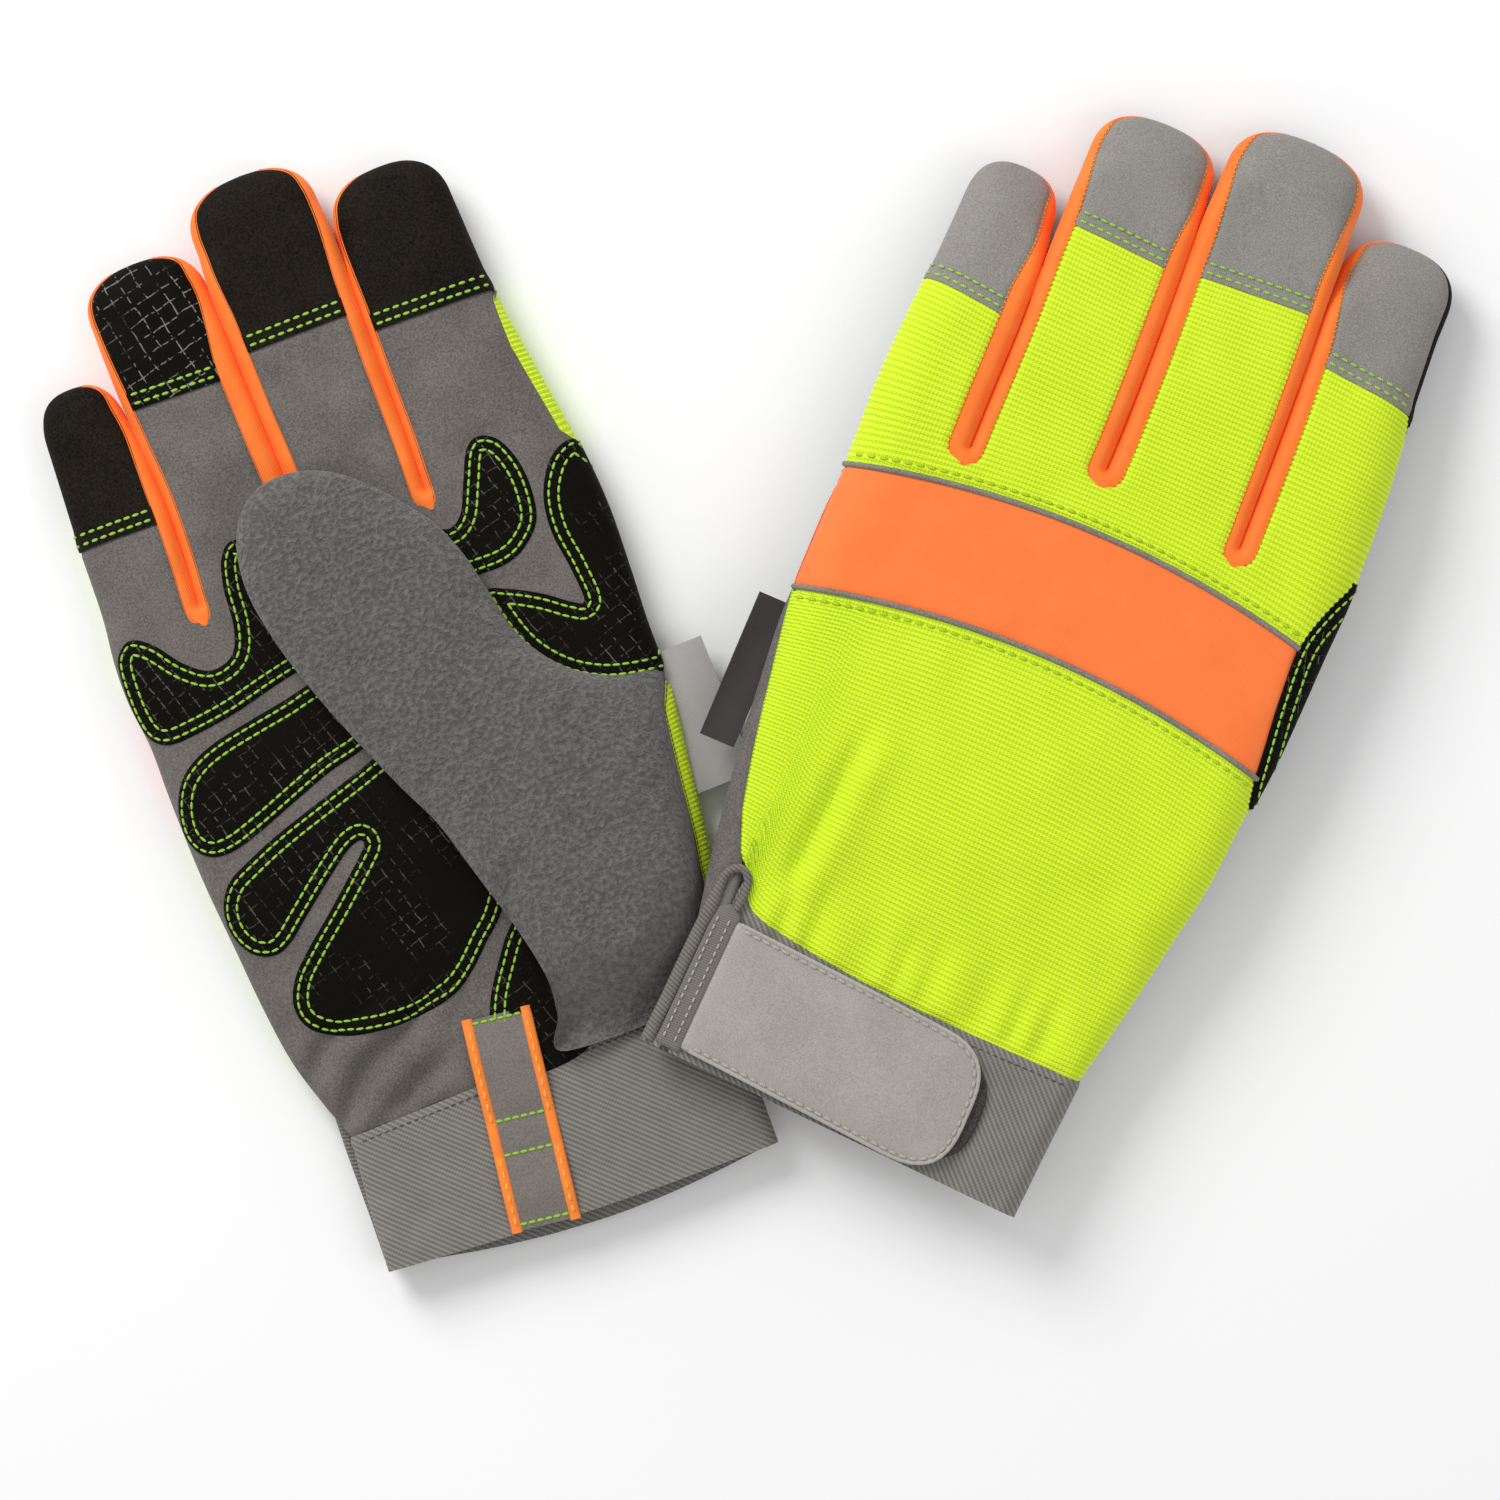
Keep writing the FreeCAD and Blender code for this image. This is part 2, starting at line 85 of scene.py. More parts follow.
FOLD_STEPS = (0.0, 0.12, 0.4, 0.8, 1.4, 2.1, 3.0, 4.0)   # extra points beside a folded-over edge
SETTLE = 0.9             # under this height the cloth is pressed flat by the floor
FAR_SEAM = 99.0          # a distance to the nearest seam where there is none
UP = np.array([0.0, 0.0, 1.0])

# Stitches: pitch, length, half their width, height off the surface and slant in degrees.
STITCHES = {
    "cap": (2.3, 1.75, 0.34, 0.36),
    "patch": (2.3, 1.75, 0.34, 0.42),
    "whip": (1.3, 0.9, 0.13, -0.1, 50),
    "band": (2.9, 2.1, 0.5, 0.24),
    "pad": (2.2, 1.95, 0.3, 0.7),
    "cuff": (1.9, 1.35, 0.2, 0.2),
    "tape": (2.0, 1.45, 0.26, 0.1),
    "strap": (2.5, 1.95, 0.40, 0.1),
}
TIP_ROWS = (1.4, 3.7)    # rows of stitches this far above the lower edge of a cap or a patch
# How high a cap or a patch stands over the panel below it, how soon it comes down to the skin, and
# how deep its lower edge dips.
TIP_LAPS = {"cap": (0.35, 5.0, 0.35), "patch": (0.45, 6.0, 0.4)}
PAD_ROWS = (1.3, 3.6)    # and this far in from the edge of a pad

# ---- the two gloves -----------------------------------------------------------------------------
# A finger is: name, left edge, right edge (x, y), tip height, tip radius, cap line (left, right),
# patch line (left, right), and the widths of its orange strips, left and right.
GLOVES = {
    "right": {
        "palm_up": True,
        "place": (-37.3, -117.8, 7.5),
        "turn": 22.0,
        "wrist_drop": 0.0,
        "ulnar": [(-53.4, -14), (-52.5, 1), (-50.8, 20), (-49.4, 33), (-52, 42), (-55.5, 55),
                  (-57.2, 70), (-58, 85), (-59, 105), (-59, 125), (-58.6, 138), (-59.6, 150),
                  (-59.2, 160), (-57.6, 172), (-56.6, 190), (-55.4, 205), (-54.2, 220)],
        "radial": [(45.8, -14), (46.2, 1), (46.8, 20), (47.4, 33), (51.5, 46), (57, 65), (60.2, 85),
                   (63, 104), (63.2, 120), (64.2, 135), (65, 150), (64.6, 165), (63.6, 175),
                   (61.4, 192), (59.4, 210), (58.6, 235)],
        "slits": [(-34.6, 165.5), (-4.0, 170.5), (26.2, 171)],
        "fingers": [
            ("little", None,
             [(-33.55, 178), (-32.95, 192), (-33.5, 207), (-34.6, 217), (-35.0, 224)],
             225.5, 11.0, (197, 194), (188, 187), 0.0, 3.4),
            ("ring", [(-33.45, 178), (-32.85, 192), (-33.4, 207), (-33.7, 217), (-33.8, 240)],
             [(-4.05, 185), (-4.25, 205), (-4.3, 232), (-5.0, 243)],
             247.8, 11.0, (222, 220), (214.5, 213), 2.0, 5.2),
            ("middle", [(-3.95, 185), (-4.15, 205), (-4.1, 232), (-3.4, 243)],
             [(26.85, 185), (27.4, 205), (28.5, 232), (28.0, 246)],
             257.8, 12.0, (223, 224), (217, 216.5), 3.4, 3.4),
            ("index", [(26.95, 185), (27.5, 205), (28.6, 230), (29.4, 240)], None,
             247.4, 12.5, (213, 212), (210.5, 209.5), 1.6, 0.0),
        ],
        "seam_ulnar": [(30, 1.2), (240, 1.2)],
        "seam_radial": [(45, 0), (62, -2.4), (100, -2.8), (107, 0), (114, 3.4), (130, 5.2),
                        (150, 5.6), (162, 3.6), (168, 0), (172, -2.4), (195, -2.8), (207, -1.2),
                        (211, 1.0)],
    },
    "left": {
        "palm_up": False,
        "place": (22.7, -103.4, 16.6),
        "turn": -23.0,
        "wrist_drop": 4.4,
        "ulnar": [(-52.6, -14), (-52, 1), (-51, 20), (-51.4, 33), (-54.2, 48), (-56, 60),
                  (-58.2, 75), (-60, 92), (-61.5, 110), (-61.8, 130), (-61.6, 150), (-62.2, 170),
                  (-61.6, 190), (-60.8, 205), (-60.3, 225)],
        "radial": [(46, -14), (46.6, 1), (47.6, 20), (48.6, 33), (50.4, 42), (53.2, 56), (56, 72),
                   (58.8, 88), (60, 104), (61.4, 120), (61.8, 135), (62, 150), (62.6, 168),
                   (61.4, 190), (59.6, 210), (58.2, 232)],
        "slits": [(-35.4, 162.8), (-3.3, 170.6), (33.2, 165.6)],
        "fingers": [
            ("little", None,
             [(-35.62, 175), (-35.8, 195), (-36.4, 211), (-37.8, 221), (-38.6, 230)],
             233.2, 11.0, (197, 194), (189, 188), 0.0, 5.4),
            ("ring", [(-35.52, 175), (-35.7, 195), (-36.25, 211), (-36.5, 225), (-36.8, 245)],
             [(-3.35, 180), (-4.1, 205), (-5.3, 232), (-6.2, 244)],
             255.0, 12.0, (222, 220.4), (216, 215), 3.2, 4.6),
            ("middle", [(-3.25, 180), (-4.0, 205), (-5.2, 232), (-5.0, 246)],
             [(32.85, 175), (31.55, 205), (29.9, 232), (29.0, 246)],
             264.4, 12.5, (221.8, 224), (219, 219), 4.2, 3.6),
            ("index", [(32.95, 175), (31.65, 205), (30.0, 230), (30.2, 242)], None,
             250.6, 12.5, (214, 211.5), (211, 210), 4.0, 0.0),
        ],
        "seam_ulnar": [(30, 7.5), (47, 8.4), (54, 6.4), (62, 4.6), (85, 2.8), (105, 1.4),
                       (118, 0.2), (172, 0), (188, -0.9), (240, -0.9)],
        "seam_radial": [(108, 0), (118, 3.0), (130, 4.6), (147, 6.4), (153, 5.4), (161, 3.4),
                        (169, 0), (205, 0), (212, 1.2), (240, 1.4)],
    },
}
LIFT = GLOVES["left"]["place"][2]

# Grip pads on the palm, as closed lines of (u, y). Past the thumb side's edge they go on round it.
UPPER_PAD = [(-52.5, 136.6), (-56.6, 138.6), (-58.6, 143), (-59, 151), (-57.8, 160), (-53.5, 163.6),
             (-48.5, 160.8), (-43, 153.5), (-37.5, 149.6), (-31.5, 151.2), (-28.6, 157.5),
             (-27.4, 167), (-25, 174), (-20.5, 176.6), (-12, 171), (-4, 170), (3, 175), (9, 180.4),
             (14, 177), (20, 168), (26.6, 160.2), (31.5, 161.5), (35.5, 169), (39, 175.8),
             (43, 177.8), (47.5, 174.6), (50, 166), (49, 155.5), (44.5, 149.8), (37.5, 146.8),
             (25, 147), (8, 145.6), (-15, 142.2), (-25, 140.4), (-36, 138), (-45, 136.9)]
MIDDLE_PAD = [(-15, 138), (-24, 136.4), (-34, 134.9), (-43, 133.3), (-49.5, 131), (-54.4, 127.3),
              (-57.6, 121.6), (-58.6, 115.2), (-57, 110.4), (-53.4, 107.7), (-48, 107.5),
              (-41, 109.4), (-30, 113.2), (-20, 116.5), (-9, 119.2), (8, 127), (20, 132), (21, 138),
              (8, 140)]
LOWER_PAD = [(-6, 116.2), (-16, 113.4), (-28, 110), (-38.3, 106.9), (-46, 104), (-52.4, 101),
             (-56, 96.6), (-57.2, 91.4), (-56.3, 86.4), (-53.4, 82.2), (-48.8, 80.5), (-44.4, 82),
             (-39.6, 85.6), (-33, 90.6), (-26.4, 95.4), (-22.6, 97.8), (-19.8, 98.6), (-19, 97.4),
             (-20.6, 95.6), (-26, 91), (-33, 85.2), (-40, 79.8), (-45.9, 74.6), (-48.9, 70),
             (-49.8, 65.6), (-48.4, 61.4), (-44.6, 58), (-39.4, 55.7), (-33, 54.3), (-26, 53.8),
             (-18.6, 54.4), (-12, 56), (-6.5, 59.5), (-0.9, 64.5), (5, 69.8), (12, 80), (22, 96),
             (22, 112), (8, 118)]
WRIST_PAD = [(-9.8, 31.5), (-8.6, 42), (-5.4, 51), (0, 59), (6, 66), (14, 70), (17, 60), (15, 44),
             (12, 31.5)]
CROTCH_PAD_INNER = [(56, 110), (48, 112.6), (40.6, 117.6), (34.8, 125), (31.6, 134), (30.6, 142.6),
                    (36, 141), (43, 137), (49, 132.4), (51.8, 131.6), (51.6, 140), (50.6, 150),
                    (52, 158.6), (56, 165.4), (60, 168.4), (63.6, 169)]
# The fleece thumb and heel: (x, y, free), where 1 is the thumb's free edge and 0 a sewn edge.
FLEECE = [(7.4, 33, 0.3), (8.6, 42, 0.5), (9.6, 51, 0.8), (7.6, 64, 1), (3.4, 80, 1), (-0.6, 95, 1),
          (-5.4, 106, 1), (-10.6, 119, 1), (-16, 134, 1), (-20, 148, 1), (-22.2, 162, 1),
          (-21, 173, 1), (-17, 181, 1), (-10.6, 185.6, 1), (-2.6, 186.2, 1), (5.6, 183.6, 1),
          (13, 178, 1), (20, 170, 1), (25.6, 162, 1), (29.2, 152.6, 1), (31.2, 143, 0.7),
          (33.6, 131, 0.2), (39, 121.6, 0), (45.6, 115.6, 0), (54, 111.8, 0), (62, 110, 0),
          (62.4, 104, 0), (60.6, 92, 0), (58.6, 80, 0), (56.4, 69, 0), (52.6, 56, 0), (48.4, 44, 0),
          (45.6, 33, 0)]
THUMB_AXIS = [(-3, 172), (4, 150), (12, 128), (21, 108), (27, 92), (29, 78), (28, 66)]


# ---- small numeric helpers ----------------------------------------------------------------------
def smooth(t):
    """0 to 1 with soft ends."""
    t = np.clip(t, 0.0, 1.0)
    return t * t * (3 - 2 * t)


def ramp(x, low, high):
    """0 at low and 1 at high, soft between them and level beyond."""
    return smooth((np.asarray(x, float) - low) / (high - low))


def unit(v):
    """The vectors, one long."""
    return v / np.maximum(np.linalg.norm(v, axis=-1, keepdims=True), 1e-9)


def dense(points, steps=8, closed=False):
    """A smooth line through the points, as many short runs."""
    p = np.array(points, float)
    if closed:
        p = np.vstack([p[-1], p, p[0], p[1]])
    else:
        p = np.vstack([2 * p[0] - p[1], p, 2 * p[-1] - p[-2]])
    t = np.linspace(0, 1, steps, endpoint=False)[:, None]
    runs = []
    for a, b, c, d in zip(p[:-3], p[1:-2], p[2:-1], p[3:]):
        runs.append(0.5 * (2 * b + (c - a) * t + (2 * a - 5 * b + 4 * c - d) * t**2
                           + (3 * b - a - 3 * c + d) * t**3))
    line = np.vstack(runs)
    return line if closed else np.vstack([line, p[-2]])


def edge_line(points):
    """x as a function of y along an edge."""
    line = dense(points)
    order = np.argsort(line[:, 1])
    return lambda y: np.interp(y, line[order, 1], line[order, 0])


def lookup(points):
    """A value as a function of y, from (y, value) points."""
    ys, values = zip(*points)
    return lambda y: np.interp(y, ys, values)


def resample(line, pitch):
    """Points at an even pitch along a polyline, and the directions there."""
    line = np.asarray(line, float)
    at = np.concatenate([[0], np.cumsum(np.linalg.norm(np.diff(line, axis=0), axis=1))])
    count = max(int(round(at[-1] / pitch)), 1)

    def along(s):
        return np.stack([np.interp(s, at, line[:, k]) for k in range(2)], axis=1)

    s = (np.arange(count) + 0.5) * at[-1] / count
    return along(s), unit(along(s + 0.3) - along(s - 0.3))


def waves(x, y, seed, size, count=6):
    """Soft unevenness from a few crossing waves, about -1 to 1."""
    rng = np.random.default_rng(seed)
    total = np.zeros(np.broadcast(x, y).shape)
    for _ in range(count):
        angle, phase = rng.uniform(0, 2 * np.pi, 2)
        k = 2 * np.pi / (size * rng.uniform(0.7, 1.5))
        total = total + np.sin(k * (x * np.cos(angle) + y * np.sin(angle)) + phase)
    return total / count**0.5 / 1.4


def bell(count, endpoint=True):
    """0 to 1 in steps that are small at both ends."""
    return 0.5 - 0.5 * np.cos(np.pi * np.linspace(0, 1, count, endpoint=endpoint))


# ---- a glove's outline and skin -----------------------------------------------------------------
def prepare(glove):
    """Turns the edge points into functions of y."""
    glove["XL"], glove["XR"] = edge_line(glove["ulnar"]), edge_line(glove["radial"])
    glove["seam_l"], glove["seam_r"] = lookup(glove["seam_ulnar"]), lookup(glove["seam_radial"])

    def side_edge(points, slit, hand_edge):
        if points is None:
            return hand_edge
        x, y = slit
        return edge_line([(x, 110), (x, y - 12), (x, y - 2), (x, y + 1)] + points)

    slits = [None] + glove["slits"] + [None]
    made = []
    for row, slit_l, slit_r in zip(glove["fingers"], slits, slits[1:]):
        name, left, right, tip, radius, cap, patch, wl, wr = row
        a, b = side_edge(left, slit_l, glove["XL"]), side_edge(right, slit_r, glove["XR"])
        droop = 0.0 if glove["palm_up"] else math.asin((LIFT - HALF_T - 0.3) / (tip - FLEX_Y))
        made.append(dict(name=name, a=a, b=b, tip=tip, across=0.5 * (b(tip) - a(tip)) - 0.3,
                         along=radius, cap=cap, patch=patch, wl=wl, wr=wr,
                         slit_l=slit_l, slit_r=slit_r, droop=droop))
    glove["fingers"] = made


def finger_at(glove, x, y):
    """Number of the finger that each point belongs to."""
    number = np.zeros(np.broadcast(x, y).shape, int)
    for i in range(3):
        middle = 0.5 * (glove["fingers"][i]["b"](y) + glove["fingers"][i + 1]["a"](y))
        number = np.where(x > middle, i + 1, number)
    return number


def tip_inset(finger, y):
    """How far the rounded tip has drawn a finger's edges in at a height."""
    up = np.clip((y - finger["tip"]) / finger["along"] + 1, 0, 1)
    return finger["across"] * (1 - (1 - up**TIP_POWER)**(1 / TIP_POWER))


def depth_in(glove, x, y):
    """Distance in from the nearest edge or slit."""
    x, y = np.broadcast_arrays(np.asarray(x, float), np.asarray(y, float))
    hand = np.minimum(x - glove["XL"](y), glove["XR"](y) - x)
    for i, (sx, sy) in enumerate(glove["slits"]):
        line = 0.5 * (glove["fingers"][i]["b"](y) + glove["fingers"][i + 1]["a"](y))
        to_slit = np.where(y < sy, np.hypot(sy - y, x - sx), np.abs(x - line))
        hand = np.minimum(hand, SLIT_FOLD * to_slit + SLIT_RIM)
    number = finger_at(glove, x, y)
    beyond = np.zeros(x.shape)
    for i, f in enumerate(glove["fingers"]):
        near = 1 - ramp(y, f["tip"] - f["along"] - 14, f["tip"] - f["along"])
        sides = []
        for distance, slit in ((x - f["a"](y), f["slit_l"]), (f["b"](y) - x, f["slit_r"])):
            turned = distance * (1 + (SLIT_FOLD - 1) * near) + SLIT_RIM * near
            sides.append(distance if slit is None else turned)
        side = np.minimum(*sides)
        across = np.maximum(1 - side / f["across"], 0)
        up = np.maximum((y - f["tip"]) / f["along"] + 1, 0)
        rounded = f["across"] * (1 - (across**TIP_POWER + up**TIP_POWER)**(1 / TIP_POWER))
        inside = np.where(up > 0, rounded, side)
        beyond = np.where(number == i, inside, beyond)
    return np.where(y > FINGERS_Y, beyond, hand)


def levels(glove, x, y):
    """Full heights of the back and of the palm, without their rounded edges."""
    back = CUFF_BACK_N + (HALF_T - CUFF_BACK_N) * ramp(y, 40, 84)
    wrist = CUFF_PALM_N - glove["wrist_drop"] * (x + 50) / 100
    palm = wrist + (-HALF_T - wrist) * ramp(y, 46, 108)
    tip = np.array([f["tip"] for f in glove["fingers"]])[finger_at(glove, x, y)]
    slim = 1 - 0.14 * ramp(y, tip - 26, tip)
    return back * slim, palm * slim


def back_folds(x, y):
    """A crease up from the wrist slit, a full middle, and gathers above the cuff."""
    across = x + 33 - 0.08 * (y - 70)
    crease = 1.5 * np.exp(-((across - 5.0) / 4.0)**2) - 2.4 * np.exp(-(across / 2.6)**2)
    fold = crease * ramp(y, 44, 56) * (1 - ramp(y, 78, 98))
    fold = fold + 0.9 * np.exp(-((x - 2) / 30)**2 - ((y - 88) / 26)**2)
    pucker = np.sin(x * 0.62 + 1.4 * np.sin(x * 0.21)) * (1 - ramp(y, 37, 58)) * ramp(y, 33, 37)
    return fold + 0.75 * pucker


def palm_folds(x, y):
    """Slanting folds beside the tab, dents across the knuckles, and the fingers' bend."""
    near_wrist = ramp(y, 33, 37) * (1 - ramp(y, 50, 68)) * (1 - ramp(x, -16, -4))
    near_wrist = near_wrist * (1 - ramp(x, -27, -17) * (1 - ramp(y, 50, 58)))
    phase = 0.27 * (0.78 * y - 0.6 * x) + 0.5 * np.sin(x * 0.13 + y * 0.08)
    fold = near_wrist * (1.2 - 3.4 * np.abs(np.cos(phase))**3)
    knuckle = ramp(y, 168, 180) * (1 - ramp(y, 192, 206))
    fold = fold + 0.55 * knuckle * np.sin(0.26 * (0.7 * y - 0.7 * x))
    bend = ramp(y, 196, 204) * (1 - ramp(y, 206, 216))
    return fold - 0.35 * bend * (1 + np.sin(x * 0.5))


def skin(glove, x, y, side):
    """Height n of the outer skin at (x, y), on the back (side 1) or on the palm (side -1)."""
    x, y = np.broadcast_arrays(np.asarray(x, float), np.asarray(y, float))
    back, palm = levels(glove, x, y)
    middle, half = 0.5 * (back + palm), 0.5 * (back - palm)
    radius = WRIST_R + (HAND_R - WRIST_R) * ramp(y, 34, 76)
    radius = radius + (FINGER_R - HAND_R) * ramp(y, 160, 178)
    inward = 1 - np.clip(depth_in(glove, x, y) / radius, 0, 1)
    round_off = np.sqrt(np.maximum(1 - inward**2, 0))
    seed = 3 if side > 0 else 11
    uneven = 0.32 * waves(x, y, seed, 34) + 0.16 * waves(x, y, seed + 1, 13)
    fold = back_folds(x, y) if side > 0 else palm_folds(x, y)
    return middle + side * (half * round_off + (uneven + fold) * round_off)


def place(glove, points):
    """From a glove's own frame, in millimetres, to the set's frame, in metres."""
    p = np.array(points, float)
    if not glove["palm_up"]:
        x, y, n = p[..., 0], p[..., 1], p[..., 2]
        droop = np.array([f["droop"] for f in glove["fingers"]])[finger_at(glove, x, y)]
        angle = droop * ramp(y, 180, 208)
        dy, dn = y - FLEX_Y, n - HALF_T
        p[..., 1] = FLEX_Y + dy * np.cos(angle) + dn * np.sin(angle)
        p[..., 2] = HALF_T - dy * np.sin(angle) + dn * np.cos(angle)
    turn = math.radians(glove["turn"])
    up = -1.0 if glove["palm_up"] else 1.0
    x = glove["place"][0] + p[..., 0] * math.cos(turn) - p[..., 1] * math.sin(turn)
    y = glove["place"][1] + p[..., 0] * math.sin(turn) + p[..., 1] * math.cos(turn)
    z = glove["place"][2] + up * p[..., 2]
    z = np.where(z < SETTLE, SETTLE * np.exp(np.minimum(z / SETTLE - 1, 0)), z)
    return np.stack([x, y, z], axis=-1) * MM


def flat_place(glove, x, y):
    """A point of the glove's middle layer in metres, as if no finger drooped."""
    return tuple(float(v) for v in place(dict(glove, palm_up=True), (x, y, 0.0)))


def surface(glove, u, y, side, finger=None):
    """A point on the skin. u runs like x, and past an edge it goes on round to the other side."""
    u, y = np.broadcast_arrays(np.asarray(u, float), np.asarray(y, float))
    if finger is None:
        left, right = glove["XL"](y), glove["XR"](y)
    else:
        inset = tip_inset(finger, y)
        left, right = finger["a"](y) + inset, finger["b"](y) - inset
    past_left, past_right = u < left - EDGE_SLACK, u > right + EDGE_SLACK
    x = np.where(past_left, 2 * left - u, np.where(past_right, 2 * right - u, u))
    turned = past_left | past_right
    n = np.where(turned, skin(glove, x, y, -side), skin(glove, x, y, side))
    return np.stack([x, y, n], axis=-1)


def on_skin(glove, side, finger=None):
    """A base to sew things on: gives the points and the outward directions at (u, y)."""
    def base(u, y):
        def at(du, dy):
            return surface(glove, u + du, y + dy, side, finger)
        step = 0.25
        out = np.cross(at(step, 0) - at(-step, 0), at(0, step) - at(0, -step))
        return at(0, 0), unit(out) * side
    return base


def on_level(n, side):
    """A flat base at one height."""
    def base(u, y):
        u, y = np.broadcast_arrays(np.asarray(u, float), np.asarray(y, float))
        out = np.zeros(u.shape + (3,))
        out[..., 2] = side
        return np.stack([u, y, np.full(u.shape, float(n))], axis=-1), out
    return base


# ---- meshes -------------------------------------------------------------------------------------
def make(name, glove, points, faces, material, relief=None):
    """A mesh object from points in a glove's frame, which stay with it as the attribute mm."""
    mesh = bpy.data.meshes.new(name)
    mesh.from_pydata(place(glove, points).tolist(), [], [list(face) for face in faces])
    kept = mesh.attributes.new("mm", "FLOAT_VECTOR", "POINT")
    kept.data.foreach_set("vector", np.asarray(points, np.float32).ravel())
    # relief is the rib height, 0 in a valley and 1 on a crest; the knit uses it for painted shade
    # in the valleys and a painted highlight on the crests
    if relief is not None:
        high = mesh.attributes.new("relief", "FLOAT", "POINT")
        high.data.foreach_set("value", np.tile(np.asarray(relief, np.float32).ravel(), 2))
    bm = bmesh.new()
    bm.from_mesh(mesh)
    bmesh.ops.remove_doubles(bm, verts=bm.verts, dist=0.002 * MM)
    bmesh.ops.recalc_face_normals(bm, faces=bm.faces)
    bm.to_mesh(mesh)
    bm.free()
    mesh.polygons.foreach_set("use_smooth", [True] * len(mesh.polygons))
    mesh.set_sharp_from_angle(angle=math.radians(55))
    mesh.materials.append(material)
    piece = bpy.data.objects.new(name, mesh)
    bpy.context.collection.objects.link(piece)
    return piece


def grid_quads(index):
    """Faces between the rows and columns of a grid of point numbers."""
    corners_of = [index[:-1, :-1], index[:-1, 1:], index[1:, 1:], index[1:, :-1]]
    return np.stack(corners_of, -1).reshape(-1, 4)


def shell(outer, inner, loop=False):
    """Points and faces of a thin sheet between two grids of points. A loop closes on itself."""
    rows, cols = outer.shape[:2]
    index = np.arange(rows * cols).reshape(rows, cols)
    if loop:
        index = np.hstack([index, index[:, :1]])
        runs = [index[0], index[-1, ::-1]]
    else:
        runs = [np.concatenate([index[0], index[1:, -1], index[-1, -2::-1], index[-2::-1, 0]])]
    quads = grid_quads(index)
    bands = [np.stack([run[:-1], run[1:], run[1:] + rows * cols, run[:-1] + rows * cols], -1)
             for run in runs]
    faces = np.vstack([quads, quads[:, ::-1] + rows * cols] + bands)
    return np.vstack([outer.reshape(-1, 3), inner.reshape(-1, 3)]), faces.tolist()


def sheet(points, side, height, thickness=SKIN_T, loop=False):
    """A fabric sheet: its outer face stands height off the points, and its inner face behind."""
    if loop:
        wide = np.concatenate([points[:, -1:], points, points[:, :1]], axis=1)
        across = np.gradient(wide, axis=1)[:, 1:-1]
    else:
        across = np.gradient(points, axis=1)
    out = unit(np.cross(across, np.gradient(points, axis=0))) * side
    height = np.broadcast_to(height, points.shape[:2])[..., None]
    return shell(points + out * height, points - out * thickness, loop)


def tube(path, out, wide, high, sides=10):
    """Points and faces of a cord along a path, wide across the surface and high off it."""
    along = unit(np.gradient(path, axis=0))
    across = unit(np.cross(along, out))
    up = np.cross(across, along)
    angle = np.linspace(0, 2 * np.pi, sides, endpoint=False)
    wide, high = (np.broadcast_to(size, len(path))[:, None, None] for size in (wide, high))
    ring = (across[:, None] * np.cos(angle)[:, None] * wide
            + up[:, None] * np.sin(angle)[:, None] * high)
    points = (path[:, None] + ring).reshape(-1, 3)
    index = np.arange(len(path) * sides).reshape(-1, sides)
    index = np.hstack([index, index[:, :1]])
    ends = [index[0, :-1].tolist(), index[-1, :-1].tolist()]
    return points, grid_quads(index).tolist() + ends


def join(parts):
    """Several (points, faces) as one."""
    points, faces, count = [], [], 0
    for some, these in parts:
        points.append(some)
        faces.extend([[i + count for i in face] for face in these])
        count += len(some)
    return np.vstack(points), faces


def inside_of(outline, x, y):
    """Which points lie inside a closed line."""
    inside = np.zeros(x.shape, bool)
    for (x0, y0), (x1, y1) in zip(outline, np.roll(outline, -1, axis=0)):
        if y0 != y1:
            crosses = ((y0 > y) != (y1 > y)) & (x < x0 + (y - y0) * (x1 - x0) / (y1 - y0))
            inside ^= crosses
    return inside


def nearest(outline, x, y):
    """Distance from each point to a closed line, and the number of the line's nearest run."""
    a = np.asarray(outline)
    b = np.roll(a, -1, axis=0)
    ab = b - a
    p = np.stack([x, y], axis=-1)[:, None]
    t = np.clip(((p - a) * ab).sum(-1) / np.maximum((ab**2).sum(-1), 1e-9), 0, 1)
    distance = np.linalg.norm(p - (a + ab * t[..., None]), axis=-1)
    return distance.min(axis=1), distance.argmin(axis=1)


def even(outline, pitch):
    """A closed line, resampled at an even pitch."""
    return resample(np.vstack([outline, outline[:1]]), pitch)[0]


def offset(outline, distance):
    """The closed line moved inwards, without the points that come too near the line."""
    ahead, behind = np.roll(outline, -1, axis=0), np.roll(outline, 1, axis=0)
    way = unit(ahead - behind)
    area = np.sum(outline[:, 0] * ahead[:, 1] - ahead[:, 0] * outline[:, 1])
    inward = np.stack([-way[:, 1], way[:, 0]], axis=1) * np.sign(area)
    moved = outline + inward * distance
    return moved[nearest(outline, moved[:, 0], moved[:, 1])[0] > 0.93 * distance]


